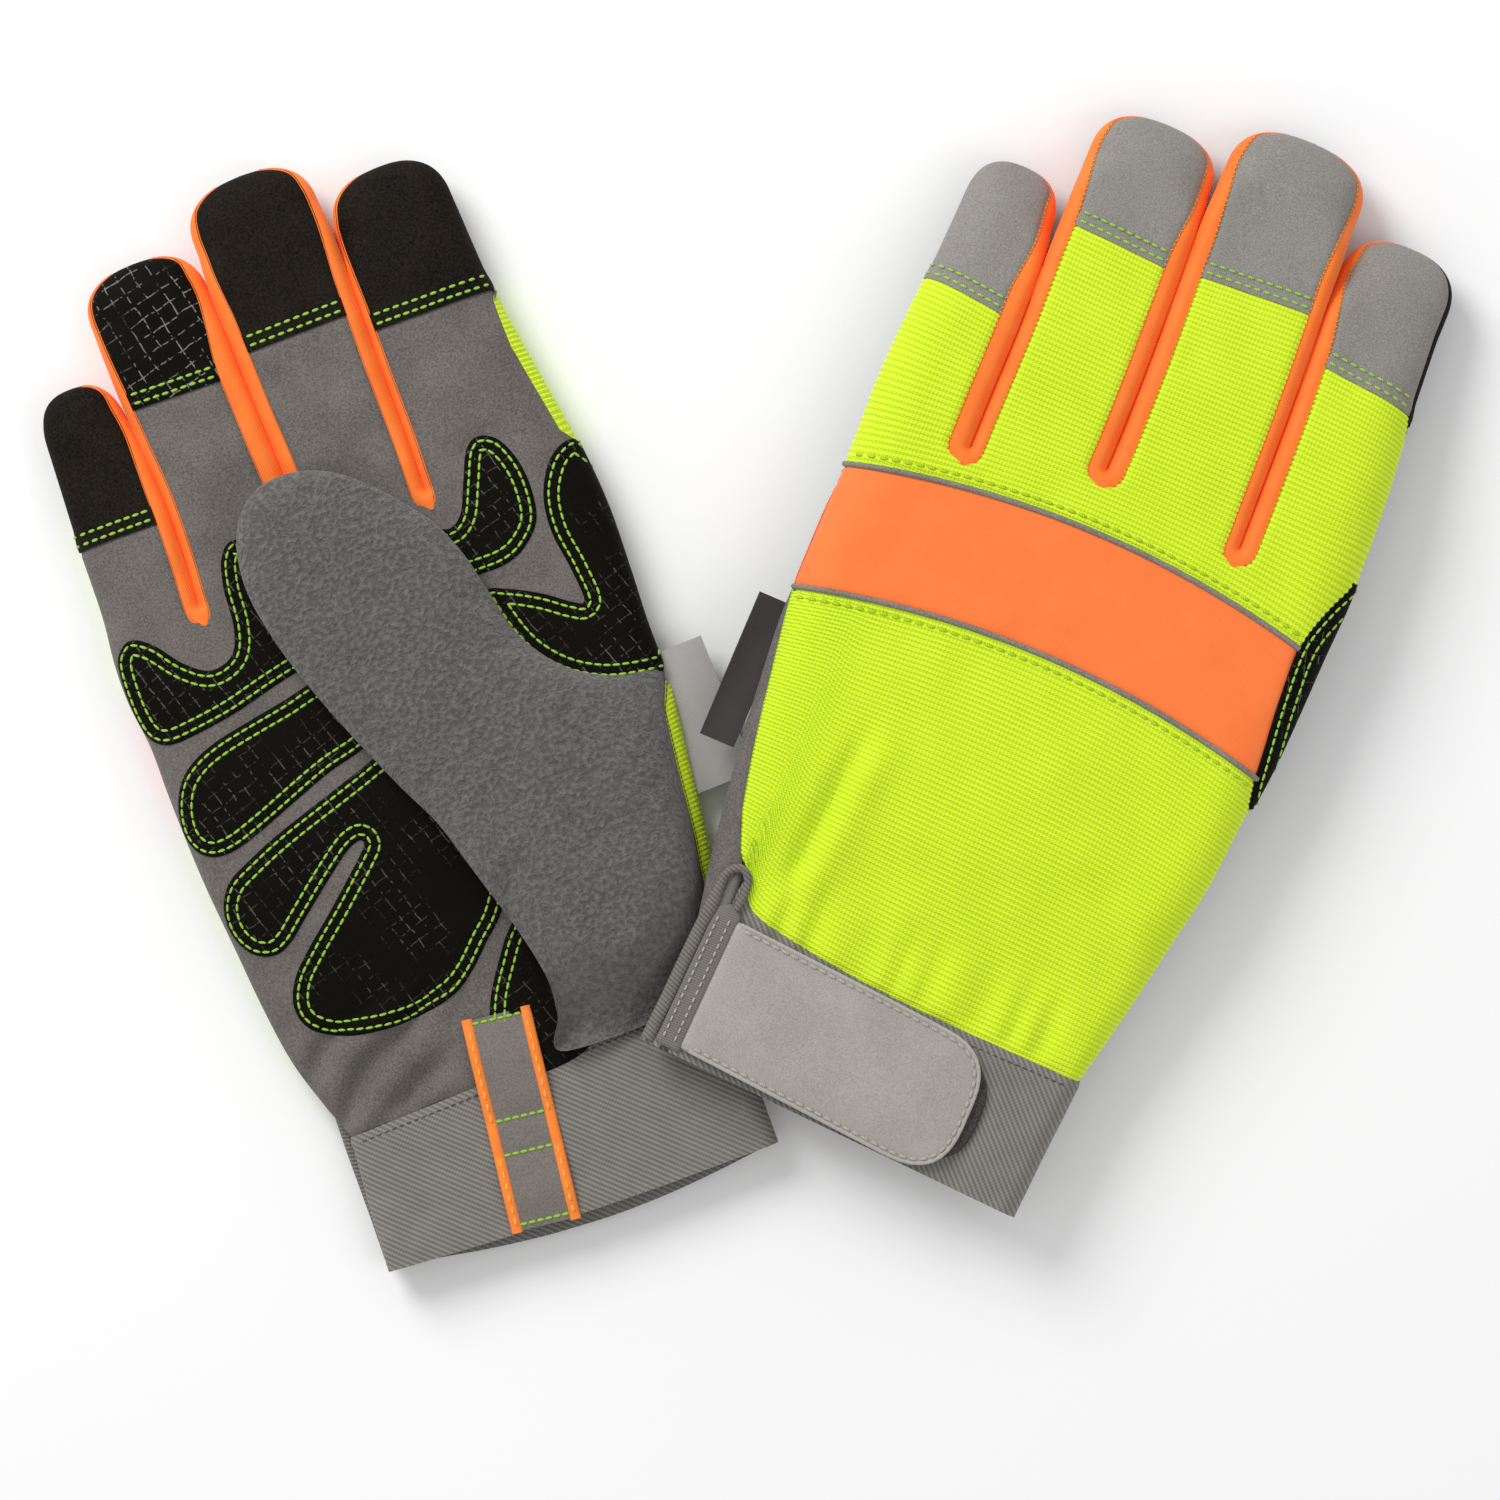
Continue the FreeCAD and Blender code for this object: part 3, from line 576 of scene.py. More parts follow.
def triangles(outline, pitch, rings, fold=None):
    """Points and triangles that fill a closed line, with rings of points just inside it.

    Where the layer folds over an edge of the glove, points are closer together beside that edge.
    """
    sets = [outline] + [offset(outline, ring) for ring in rings]
    low, high = outline.min(axis=0), outline.max(axis=0)
    gx, gy = np.meshgrid(np.arange(low[0], high[0], pitch),
                         np.arange(low[1], high[1], pitch * 0.87))
    gx[1::2] += pitch / 2
    gx, gy = gx.ravel(), gy.ravel()
    keep = inside_of(outline, gx, gy)
    gx, gy = gx[keep], gy[keep]
    keep = nearest(outline, gx, gy)[0] > max(rings) + 0.5 * pitch
    if fold is not None:
        keep &= np.abs(gx - fold(gy)) > FOLD_STEPS[-1] + 0.5 * pitch
        y = np.arange(low[1], high[1], 1.0)
        steps = sorted({sign * step for step in FOLD_STEPS for sign in (-1, 1)})
        beside = np.vstack([np.stack([fold(y) + step, y], axis=1) for step in steps])
        beside = beside[inside_of(outline, beside[:, 0], beside[:, 1])]
        clear = nearest(outline, beside[:, 0], beside[:, 1])[0] > max(rings) + 0.25
        sets.append(beside[clear])
    sets.append(np.stack([gx[keep], gy[keep]], axis=1))
    flat = [Vector(p) for p in np.vstack(sets)]
    count = len(outline)
    edges = [(i, (i + 1) % count) for i in range(count)]
    made = geometry.delaunay_2d_cdt(flat, edges, [], 1, 1e-5)
    return np.array([tuple(v) for v in made[0]]), [list(face) for face in made[2]]


def slab(top, bottom, faces):
    """Closes two layers of the same triangles into a solid."""
    count = len(top)
    used = dict.fromkeys((a, b) for face in faces for a, b in zip(face, face[1:] + face[:1]))
    rim = [(a, b) for a, b in used if (b, a) not in used]
    closed = faces + [[i + count for i in face[::-1]] for face in faces]
    closed += [[b, a, a + count, b + count] for a, b in rim]
    return np.vstack([top, bottom]), closed


def layer(outline, base, rise, sink, pitch=2.5, edge=0.9, crown=0.0, fold=None):
    """A layer sewn on a base: its edge is rounded over, and its middle may be crowned."""
    flat, faces = triangles(even(outline, 1.0), pitch, [0.12 * edge, 0.45 * edge, edge], fold)
    depth = nearest(outline, flat[:, 0], flat[:, 1])[0]
    point, out = base(flat[:, 0], flat[:, 1])
    inward = 1 - np.clip(depth / edge, 0, 1)
    height = rise * np.sqrt(1 - inward**2) + crown * smooth(depth / 8.0)
    return slab(point + out * height[:, None], point - out * sink, faces)


def corners(points, radii):
    """A closed outline of straight runs with round corners."""
    points = [np.array(p, float) for p in points]
    line = []
    for i, (point, radius) in enumerate(zip(points, radii)):
        back, ahead = unit(points[i - 1] - point), unit(points[(i + 1) % len(points)] - point)
        half = 0.5 * math.acos(float(np.clip(back @ ahead, -1, 1)))
        reach = radius / math.tan(half)
        start, end = point + back * reach, point + ahead * reach
        for t in np.linspace(0, 1, 9):
            line.append((1 - t)**2 * start + 2 * t * (1 - t) * point + t**2 * end)
    return np.array(line)


def bead():
    """Points and faces of one stitch, one long, lying along the first axis."""
    rings = [(-0.42, 0.62), (-0.2, 1.0), (0.2, 1.0), (0.42, 0.62)]
    sides = 6
    turns = [2 * math.pi * k / sides for k in range(sides)]
    points = [(-0.5, 0, 0)]
    points += [(at, size * math.cos(turn), size * math.sin(turn))
               for at, size in rings for turn in turns]
    points.append((0.5, 0, 0))
    last = len(points) - 1
    index = np.arange(1, last).reshape(-1, sides)
    index = np.hstack([index, index[:, :1]])
    faces = [[0, b, a] for a, b in zip(index[0], index[0, 1:])] + grid_quads(index).tolist()
    faces += [[last, a, b] for a, b in zip(index[-1], index[-1, 1:])]
    return np.array(points, float), faces


BEAD_POINTS, BEAD_FACES = bead()


def beads(middle, along, across, up, long, wide):
    """Points and faces of many stitches, from their middles and their three directions."""
    points = (middle[:, None] + along[:, None] * (BEAD_POINTS[:, :1] * long)
              + across[:, None] * (BEAD_POINTS[:, 1:2] * wide)
              + up[:, None] * (BEAD_POINTS[:, 2:] * wide))
    faces = [[int(i) + n * len(BEAD_POINTS) for i in face]
             for n in range(len(middle)) for face in BEAD_FACES]
    return points.reshape(-1, 3), faces


def stitches(lines, base, pitch, long, wide, lift, slant=0.0):
    """Points and faces of a row of stitches along each line of (u, y)."""
    spots, ways = zip(*[resample(line, pitch) for line in lines])
    spot, way = np.vstack(spots), np.vstack(ways)
    turn = np.radians(slant) * np.where(np.arange(len(spot)) % 2, 1, -1)
    way = np.stack([way[:, 0] * np.cos(turn) - way[:, 1] * np.sin(turn),
                    way[:, 0] * np.sin(turn) + way[:, 1] * np.cos(turn)], axis=1)
    point, out = base(spot[:, 0], spot[:, 1])
    along = unit(base(spot[:, 0] + 0.3 * way[:, 0], spot[:, 1] + 0.3 * way[:, 1])[0] - point)
    across = unit(np.cross(along, out))
    return beads(point + out * lift, along, across, np.cross(across, along), long, wide)


# ---- materials ----------------------------------------------------------------------------------
def linear(r, g, b):
    """An 8-bit screen colour as the shader wants it."""
    return tuple((v / 255 / 12.92) if v / 255 <= 0.04045 else ((v / 255 + 0.055) / 1.055) ** 2.4
                 for v in (r, g, b)) + (1.0,)


class Tree:
    """A material under construction, with its patterns in the glove's own millimetres."""

    def __init__(self, name, roughness=0.85, sheen=0.0, specular=0.3):
        self.material = bpy.data.materials.new(name)
        self.material.use_nodes = True
        self.nodes = self.material.node_tree.nodes
        self.links = self.material.node_tree.links
        self.shader = self.nodes["Principled BSDF"]
        for key, value in (("Roughness", roughness), ("Specular IOR Level", specular),
                           ("Sheen Weight", sheen), ("Sheen Roughness", 0.5)):
            self.shader.inputs[key].default_value = value
        self.mm = self.add("ShaderNodeAttribute", {}, attribute_name="mm").outputs["Vector"]

    def add(self, kind, values, **props):
        """A node, with its inputs linked to sockets or set to values."""
        node = self.nodes.new(kind)
        for key, value in props.items():
            setattr(node, key, value)
        for key, value in values.items():
            if isinstance(value, bpy.types.NodeSocket):
                self.links.new(value, node.inputs[key])
            else:
                node.inputs[key].default_value = value
        return node

    def math(self, operation, a, b=0.0, c=0.0):
        return self.add("ShaderNodeMath", {0: a, 1: b, 2: c}, operation=operation).outputs[0]

    def times(self, a, b):
        return self.math("MULTIPLY", a, b)

    def total(self, a, share_a, b, share_b):
        """Two values added in these shares."""
        return self.math("MULTIPLY_ADD", a, share_a, self.times(b, share_b))

    def steps(self, direction, pitch):
        """How many pitches along a direction, in degrees from x."""
        turn = math.radians(direction)
        aim = (math.cos(turn) / pitch, math.sin(turn) / pitch, 0)
        node = self.add("ShaderNodeVectorMath", {0: self.mm, 1: aim}, operation="DOT_PRODUCT")
        return node.outputs["Value"]

    def wave(self, direction, pitch):
        """0 to 1 in even ridges that lie across a direction."""
        sine = self.math("SINE", self.steps(direction, pitch / (2 * math.pi)))
        return self.math("MULTIPLY_ADD", sine, 0.5, 0.5)

    def noise(self, size, detail=2.0):
        """0 to 1, uneven at a size in millimetres."""
        values = {"Vector": self.mm, "Scale": 1 / size, "Detail": detail}
        return self.add("ShaderNodeTexNoise", values).outputs["Fac"]

    def between(self, factor, low, high):
        """The factor stretched so that low gives 0 and high gives 1."""
        return self.add("ShaderNodeMapRange", {"Value": factor, "From Min": low, "From Max": high},
                        interpolation_type="SMOOTHSTEP").outputs["Result"]

    def colour(self, factor, dark, light):
        """Between two colours, each a socket or an 8-bit screen colour."""
        values = {0: factor}
        for key, value in ((6, dark), (7, light)):
            values[key] = linear(*value) if isinstance(value, tuple) else value
        return self.add("ShaderNodeMix", values, data_type="RGBA").outputs[2]

    def finish(self, factor, dark, light, height, depth):
        """Colours the surface, with a relief that is depth millimetres high."""
        self.links.new(self.colour(factor, dark, light), self.shader.inputs["Base Color"])
        values = {"Height": height, "Distance": depth * MM, "Strength": 1.0}
        bump = self.add("ShaderNodeBump", values)
        self.links.new(bump.outputs[0], self.shader.inputs["Normal"])
        return self.material


def knit(name, dark, light, course=0.62, wale=0.9):
    """Ribbed knit: the ribs are in the mesh, and the loops of yarn along them are here. Painted
    shade darkens the colour in the ribs' valleys and a painted highlight lightens their crests.
    """
    tree = Tree(name, 0.8, 0.12)
    # the rib height, 0 in a valley and 1 on a crest, drives painted shade in the valleys and a
    # painted highlight on the crests
    rib_shade = tree.add("ShaderNodeAttribute", {}, attribute_name="relief").outputs["Fac"]
    loops = tree.times(tree.wave(0, wale), tree.wave(90, course))
    # three quarters of the colour is this painted rib shade and highlight, the rest is yarn loops
    # and random tone
    factor = tree.total(rib_shade, 0.75, loops, 0.15)
    factor = tree.math("MULTIPLY_ADD", tree.noise(9.0, 3.0), 0.2, factor)
    return tree.finish(factor, dark, light, loops, 0.14)


def stretch(name, dark, light):
    """Smooth stretch knit with a faint grain."""
    tree = Tree(name, 0.62, 0.1)
    grain = tree.times(tree.wave(45, 0.55), tree.wave(-45, 0.55))
    return tree.finish(tree.total(grain, 0.3, tree.noise(7.0), 0.7), dark, light, grain, 0.05)


def brushed(name, dark, light, size=0.5, depth=0.06, roughness=0.9, sheen=0.1, cloud=0.25,
            specular=0.15):
    """Suede, brushed cloth or grip leather: a fine grain over soft clouds."""
    tree = Tree(name, roughness, sheen, specular)
    grain = tree.noise(size, 4.0)
    factor = tree.total(grain, 1 - cloud, tree.noise(11.0, 3.0), cloud)
    return tree.finish(tree.between(factor, 0.3, 0.7), dark, light, grain, depth)


def twill(name, dark, light, direction=45, pitch=1.15, depth=0.22):
    """Elastic or tape with ribs of yarn."""
    tree = Tree(name, 0.85, 0.1)
    height = tree.total(tree.wave(direction, pitch), 0.8, tree.wave(direction + 90, 0.7), 0.2)
    return tree.finish(tree.total(height, 0.7, tree.noise(5.0), 0.3), dark, light, height, depth)


def net_print(name, dark, light, ink, turn=16, pitch=3.4, wear=0.5, cross=0.45):
    """Grip leather with a broken net printed on it, fainter one way than the other."""
    tree = Tree(name, 0.7, 0.0, 0.06)
    wobble = tree.noise(5.0, 2.0)
    lines = []
    for direction, strength in ((turn, 1.0), (turn + 90, cross)):
        bent = tree.math("MULTIPLY_ADD", wobble, 0.35, tree.steps(direction, pitch))
        away = tree.math("ABSOLUTE", tree.math("SUBTRACT", tree.math("FRACT", bent), 0.5))
        lines.append(tree.times(tree.between(away, 0.05, 0.025), strength))
    dashes = tree.between(tree.noise(1.3, 2.0), 0.46, 0.54)
    worn = tree.between(tree.noise(14.0, 1.0), wear - 0.12, wear + 0.12)
    inked = tree.times(tree.times(tree.math("MAXIMUM", *lines), dashes), worn)
    grain = tree.noise(0.6, 4.0)
    height = tree.total(grain, 0.5, inked, 0.5)
    return tree.finish(inked, tree.colour(grain, dark, light), ink, height, 0.09)


def thread(name, dark, light):
    """Twisted sewing thread."""
    tree = Tree(name, 0.55, 0.1)
    twist = tree.wave(35, 0.5)
    return tree.finish(tree.math("MULTIPLY_ADD", twist, 0.5, 0.25), dark, light, twist, 0.05)


def fleece_cloth(name, dark, light):
    """Brushed fleece: curly pile in two sizes."""
    tree = Tree(name, 1.0, 0.3, 0.1)
    curls = tree.between(tree.noise(1.25, 4.0), 0.3, 0.7)
    pile = tree.total(curls, 0.5, tree.noise(0.5, 4.0), 0.5)
    return tree.finish(tree.total(tree.noise(14.0), 0.25, pile, 0.85), dark, light, pile, 0.9)


MATERIALS = {
    # lime: the darker end is partly painted shade in the ribs' valleys, the lighter end partly a
    # painted highlight on their crests
    "lime": knit("lime_knit", (180, 216, 8), (232, 255, 52)),
    "band": stretch("orange_band", (254, 116, 50), (255, 134, 66)),
    "strip": stretch("orange_strip", (250, 107, 30), (255, 139, 52)),
    "tab_edge": stretch("tab_binding", (248, 122, 36), (255, 150, 60)),
    "suede": brushed("grey_suede", (86, 81, 78), (120, 115, 110)),
    "cap": brushed("grey_cap", (122, 118, 114), (150, 146, 141), 0.4, 0.04, 0.7, cloud=0.15),
    "tip": brushed("black_tip", (6, 3, 1), (36, 30, 24), 0.6, 0.09, 0.75, 0.0, 0.25, 0.1),
    "pad": net_print("black_pad", (7, 5, 2), (20, 17, 11), (90, 88, 81)),
    "net_tip": net_print("black_net_tip", (8, 6, 3), (20, 17, 12), (124, 122, 116), 12, 3.8,
                         wear=0.38, cross=0.9),
    "fleece": fleece_cloth("fleece", (57, 55, 53), (125, 122, 119)),
    "elastic": twill("elastic", (90, 88, 83), (150, 147, 140)),
    "tape": twill("binding_tape", (98, 94, 89), (132, 127, 121), 90, 0.6, 0.08),
    "whipped": twill("whipped_edge", (88, 84, 79), (140, 135, 128), 72, 0.95, 0.3),
    "tongue": brushed("soft_tongue", (104, 101, 96), (128, 125, 119), 0.4, 0.03),
    "piping": brushed("grey_piping", (112, 108, 100), (146, 140, 128), 0.5, 0.04),
    "strap": brushed("reflective_strap", (148, 143, 137), (174, 169, 163), 0.35, 0.03, 0.45, 0.0,
                     0.25, 0.3),
    "strap_edge": brushed("strap_border", (160, 155, 148), (184, 179, 171), 0.4, 0.05, 0.6, 0.0),
    "hook": brushed("hook_patch", (44, 42, 40), (96, 92, 87), 0.35, 0.3, 0.9, 0.0),
    "tab": brushed("pull_tab", (110, 103, 97), (131, 124, 118), 0.5, 0.05, cloud=0.15),
    "dark_label": twill("dark_label", (44, 41, 41), (68, 63, 62), 90, 0.4, 0.05),
    "grey_label": twill("grey_label", (156, 153, 150), (182, 179, 176), 90, 0.4, 0.05),
    "green": thread("green_thread", (112, 170, 38), (176, 226, 82)),
    "lime_thread": thread("lime_thread", (140, 172, 8), (206, 234, 40)),
    "whip_thread": thread("whip_thread", (226, 150, 24), (240, 190, 40)),
    "dark_thread": thread("dark_thread", (60, 57, 54), (92, 88, 84)),
    "pale_thread": thread("pale_thread", (150, 146, 138), (196, 191, 182)),
    "orange_thread": thread("orange_thread", (252, 160, 50), (255, 196, 96)),
}


# ---- panels -------------------------------------------------------------------------------------
def spread(ext_left, ext_right, left, right, middle_count, wrap_count=5):
    """u across a panel that reaches past (+) or stops short of (-) its edges, denser near them."""
    start, end = left - ext_left, right + ext_right
    edge_l, edge_r = np.maximum(start, left), np.minimum(end, right)
    far = 1 - np.sin(0.5 * np.pi * np.arange(wrap_count) / wrap_count)
    middle = bell(middle_count)
    none, one = np.zeros(wrap_count), np.ones(wrap_count)
    before = np.concatenate([far, 0 * middle, none])
    across = np.concatenate([none, middle, one])
    after = np.concatenate([none, 0 * middle, far[::-1]])
    return edge_l - (edge_l - start) * before + (edge_r - edge_l) * across + (end - edge_r) * after


def rows_between(low, high, count, across, ease=None):
    """u and y of each point: rows spread from one line to another, each a function of u."""
    v = np.linspace(0, 1, count)[:, None]
    if ease is not None:
        v = ease(v)
    y = low(0.0) + (high(0.0) - low(0.0)) * v
    for _ in range(4):
        u = across(y)
        y = low(u) + (high(u) - low(u)) * v
    return u, y


def const(value):
    """A function that is the same everywhere."""
    return lambda u: np.zeros(np.shape(u)) + value


def sloping(finger, ends):
    """A line across a finger, given by its heights at the left and right edge."""
    left, right = float(finger["a"](ends[0])), float(finger["b"](ends[1]))
    return lambda u: ends[0] + (ends[1] - ends[0]) * (np.asarray(u) - left) / (right - left)


def seam_curve(middle_y):
    """One edge of the knuckle band."""
    return lambda u: middle_y - BAND_DROP * (np.asarray(u) / BAND_HALF_W)**2


def strip_width(finger, y, full, slit):
    """Visible width of an orange strip: round at its foot, and tapered out before the fingertip."""
    up = np.clip((y - slit[1] + STRIP_FOOT) / STRIP_FOOT, 0, 1)
    tip = finger["tip"]
    taper = 1 - 0.5 * ramp(y, tip - 34, tip - 12) - 0.5 * ramp(y, tip - 9, tip - 0.3)
    return full * np.sqrt(1 - (1 - up)**2) * taper


def side_widths(glove, finger, y, side):
    """How far each end of a finger's panel is from the silhouette, on the back or on the palm."""
    shown = (side > 0) != glove["palm_up"]
    ends = []
    for slit, full, seam in ((finger["slit_l"], finger["wl"], glove["seam_l"]),
                             (finger["slit_r"], finger["wr"], glove["seam_r"])):
        if slit is None:
            ends.append(-side * seam(y))
        else:
            ends.append(-strip_width(finger, y, full if shown else HIDDEN_STRIP, slit))
    return ends


def finger_panel(glove, finger, side, low, high, count, columns=24, ease=None):
    """Grid of points over one finger's panel, and its distance to the seams at its sides."""
    def across(y):
        inset = tip_inset(finger, y)
        left, right = finger["a"](y) + inset, finger["b"](y) - inset
        return spread(*side_widths(glove, finger, y, side), left, right, columns)
    u, y = rows_between(low, high, count, across, ease)
    seam = np.full(u.shape, FAR_SEAM)
    for slit, end in ((finger["slit_l"], u[:, :1]), (finger["slit_r"], u[:, -1:])):
        no_seam = FAR_SEAM
        if slit is not None:
            foot = slit[1] - STRIP_FOOT
            no_seam = FAR_SEAM * (1 - ramp(y, foot - 1, foot + 1))
        seam = np.minimum(seam, np.abs(u - end) + no_seam)
    return surface(glove, u, y, side, finger), u, y, seam


def hand_panel(glove, side, low, high, count, columns=60):
    """Grid of points over the whole width of the hand, and its distance to the side seams."""
    def across(y):
        ends = [-side * glove[seam](y) + 0.1 for seam in ("seam_l", "seam_r")]
        return spread(*ends, glove["XL"](y), glove["XR"](y), columns)
    u, y = rows_between(low, high, count, across)
    seam = np.minimum(np.abs(u - u[:, :1]), np.abs(u - u[:, -1:]))
    return surface(glove, u, y, side), u, y, seam


def tuck(distance, amount=SEAM_TUCK, reach=1.3):
    """How a sheet dips beside a seam."""
    return -amount * (1 - smooth(distance / reach))


def ribbed(count):
    """Height of each row of a ribbed panel."""
    return RIB_HEIGHT * (0.5 - 0.5 * np.cos(2 * np.pi * np.arange(count) / ROWS_PER_RIB))[:, None]


def rib_rows(length):
    """Number of rows that gives whole ribs."""
    return max(int(round(length / RIB)), 1) * ROWS_PER_RIB + 1


# ---- the fingers --------------------------------------------------------------------------------
def finger_piece(glove, finger, name, parts, material, nodes=None, relief=None):
    """A piece that runs from the hand into its finger."""
    side = glove["side"]
    piece = make(f"{side}_{finger['name']}_{name}", glove, *parts, MATERIALS[material], relief)
    if nodes is not None:
        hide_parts(*nodes)
    x = float(finger["a"](FLEX_Y) + finger["b"](FLEX_Y)) / 2
    start, end = (flat_place(glove, x, y) for y in BEND)
    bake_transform(piece)


def under_tip(above):
    """How much lower a panel's end is where the cap or the patch covers it."""
    return 0.25 * ramp(above, -1.0, 0.0)


def tip_height(above, seam, rise, reach, dip):
    """The cap or the patch stands over the panel below it and dips at its seams."""
    return rise * (1 - ramp(above, 0.8, reach)) + tuck(seam, 0.4) + tuck(above + 0.5, dip, 0.9)


def towards_tip(v):
    """0 to 1 in steps that get smaller."""
    return np.sin(0.5 * np.pi * v)


def tip_lines(finger):
    """The lower edge of the cap, that of the patch, and the fingertip."""
    return sloping(finger, finger["cap"]), sloping(finger, finger["patch"]), const(finger["tip"])


def finger_back(glove, finger):
    """Ribbed lime from the knuckle band up to the fingertip, and the cap over the end of it."""
    side, name = glove["side"], finger["name"]
    low, split_y = seam_curve(BAND_HIGH_Y), BEND[0]
    cap, _, tip = tip_lines(finger)
    counts = [rib_rows(split_y - BAND_HIGH_Y + 2), rib_rows(np.mean(finger["cap"]) - split_y)]
    lower = finger_panel(glove, finger, 1, low, const(split_y), counts[0])
    upper = finger_panel(glove, finger, 1, const(split_y), cap, counts[1])
    points, u, y, seam = [np.vstack([a, b[1:]]) for a, b in zip(lower, upper)]
    ribs = ribbed(len(points))
    height = ribs + tuck(seam) + tuck(y - low(u), 0.5, 1.6) - under_tip(y - cap(u))
    # the rib heights also go to the knit as relief, for its painted shade in the valleys and
    # painted highlight on the crests
    finger_piece(glove, finger, "back_panel", sheet(points, 1, height), "lime",
                 [f"{side}_{name}_back", f"{side}_back_upper_panel"],
                 relief=np.broadcast_to(ribs / RIB_HEIGHT, u.shape))
    points, u, y, seam = finger_panel(glove, finger, 1, cap, tip, 34, 22, towards_tip)
    height = tip_height(y - cap(u), seam, *TIP_LAPS["cap"])
    finger_piece(glove, finger, "cap", sheet(points, 1, height), "cap",
                 [f"{side}_{name}_tip"])


def finger_palm(glove, finger):
    """Grey suede up to the fingertip, and the patch over the end of it."""
    side, name = glove["side"], finger["name"]
    _, patch, tip = tip_lines(finger)
    points, u, y, seam = finger_panel(glove, finger, -1, const(COLUMN_JOIN_Y), patch, 60)
    height = tuck(seam) - under_tip(y - patch(u))
    finger_piece(glove, finger, "palm_panel", sheet(points, -1, height), "suede",
                 [n for n in (f"{side}_{name}_palm",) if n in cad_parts])
    points, u, y, seam = finger_panel(glove, finger, -1, patch, tip, 40, 22, towards_tip)
    height = tip_height(y - patch(u), seam, *TIP_LAPS["patch"])
    finger_piece(glove, finger, "tip_patch", sheet(points, -1, height),
                 "net_tip" if name == "ring" else "tip", [f"{side}_{name}_tip"])


def side_wall(glove, finger, slit, full, sign):
    """An orange strip round one side of a finger, and the whip stitches along it on the back."""
    low_y, high_y = slit[1] - STRIP_FOOT - STRIP_OVERLAP + 0.03, finger["tip"] - 0.35
    y = (low_y + (high_y - low_y) * towards_tip(np.linspace(0, 1, 110))**1.7)[:, None]
    inset = tip_inset(finger, y)
    edge = finger["a"](y) + inset if sign < 0 else finger["b"](y) - inset
    reach = y + STRIP_OVERLAP * (1 - ramp(y, slit[1], slit[1] + 10))
    t = towards_tip(np.linspace(0, 1, 9))
    halves, widths = [], {}
    for side in (1, -1):
        width = full if (side > 0) != glove["palm_up"] else HIDDEN_STRIP
        widths[side] = strip_width(finger, reach, width, slit) + 0.15
        halves.append(surface(glove, edge - sign * widths[side] * (1 - t), y, side, finger))
    points = np.concatenate([halves[0], halves[1][:, ::-1]], axis=1)
    belly = towards_tip(np.concatenate([t, t[::-1]]))
    wall = sheet(points, sign, 0.45 * belly - 0.3, 0.8)
    far, rise = widths[1][:, 0], y[:, 0]
    keep = (far > 1.0) & (rise > slit[1] - 3.5) & (rise < finger["tip"] - 4)
    row = np.stack([(edge[:, 0] - sign * (far - 0.1))[keep], rise[keep]], axis=1)
    return wall, stitches([row], on_skin(glove, 1, finger), *STITCHES["whip"])


def finger_sides(glove, finger):
    """Orange side walls from below the slits to the fingertip."""
    side, name = glove["side"], finger["name"]
    walls = [side_wall(glove, finger, slit, full, sign)
             for slit, full, sign in ((finger["slit_l"], finger["wl"], -1),
                                      (finger["slit_r"], finger["wr"], 1)) if slit is not None]
    parts, whip = zip(*walls)
    finger_piece(glove, finger, "side_walls", join(parts), "strip",
                 [f"{side}_{name}_sides", f"{side}_finger_gussets"])
    finger_piece(glove, finger, "side_stitches", join(whip), "whip_thread")


def tip_stitches(glove, finger):
    """Two rows of stitches across the cap and across the patch."""
    cap, patch, _ = tip_lines(finger)
    parts = []
    for side, line, kind in ((1, cap, "cap"), (-1, patch, "patch")):
        for above in TIP_ROWS:
            y_mid = float(line(0.0)) + above
            left, right = float(finger["a"](y_mid)), float(finger["b"](y_mid))
            y_ends = np.array([float(np.mean(line(np.array([left, right]))))])
            ends = side_widths(glove, finger, y_ends, side)
            u = np.linspace(left - float(ends[0][0]) + 0.7, right + float(ends[1][0]) - 0.7, 24)
            row = np.stack([u, line(u) + above], axis=1)
            parts.append(stitches([row], on_skin(glove, side, finger), *STITCHES[kind]))
    finger_piece(glove, finger, "tip_stitches", join(parts), "green")


# ---- the hand -----------------------------------------------------------------------------------
def hand_piece(glove, name, parts, material, slot, *nodes, body="hand", relief=None):
    """A piece that rides on the hand or on the strap."""
    side = glove["side"]
    piece = make(f"{side}_{name}", glove, *parts, MATERIALS[material], relief)
    if nodes:
        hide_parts(*[f"{side}_{node}" for node in nodes])
    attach(piece, f"{side}_{body}")
    return piece


def cuff_seam(glove):
    """Where the back's lime ends: it rises to the head of the wrist slit."""
    if glove["palm_up"]:
        points = [(-60, CUFF_TOP_Y), (60, CUFF_TOP_Y)]
    else:
        points = [(-60, 52), (-47, 50.5), (-44.6, 47.6), (-42.8, 43.6), (-40.8, 40.6), (-37, 38.8),
                  (-28, 37), (-15, 35.3), (0, 34), (20, 33.2), (60, 32.6)]
    line = dense(points)
    return lambda u: np.interp(np.asarray(u), line[:, 0], line[:, 1])


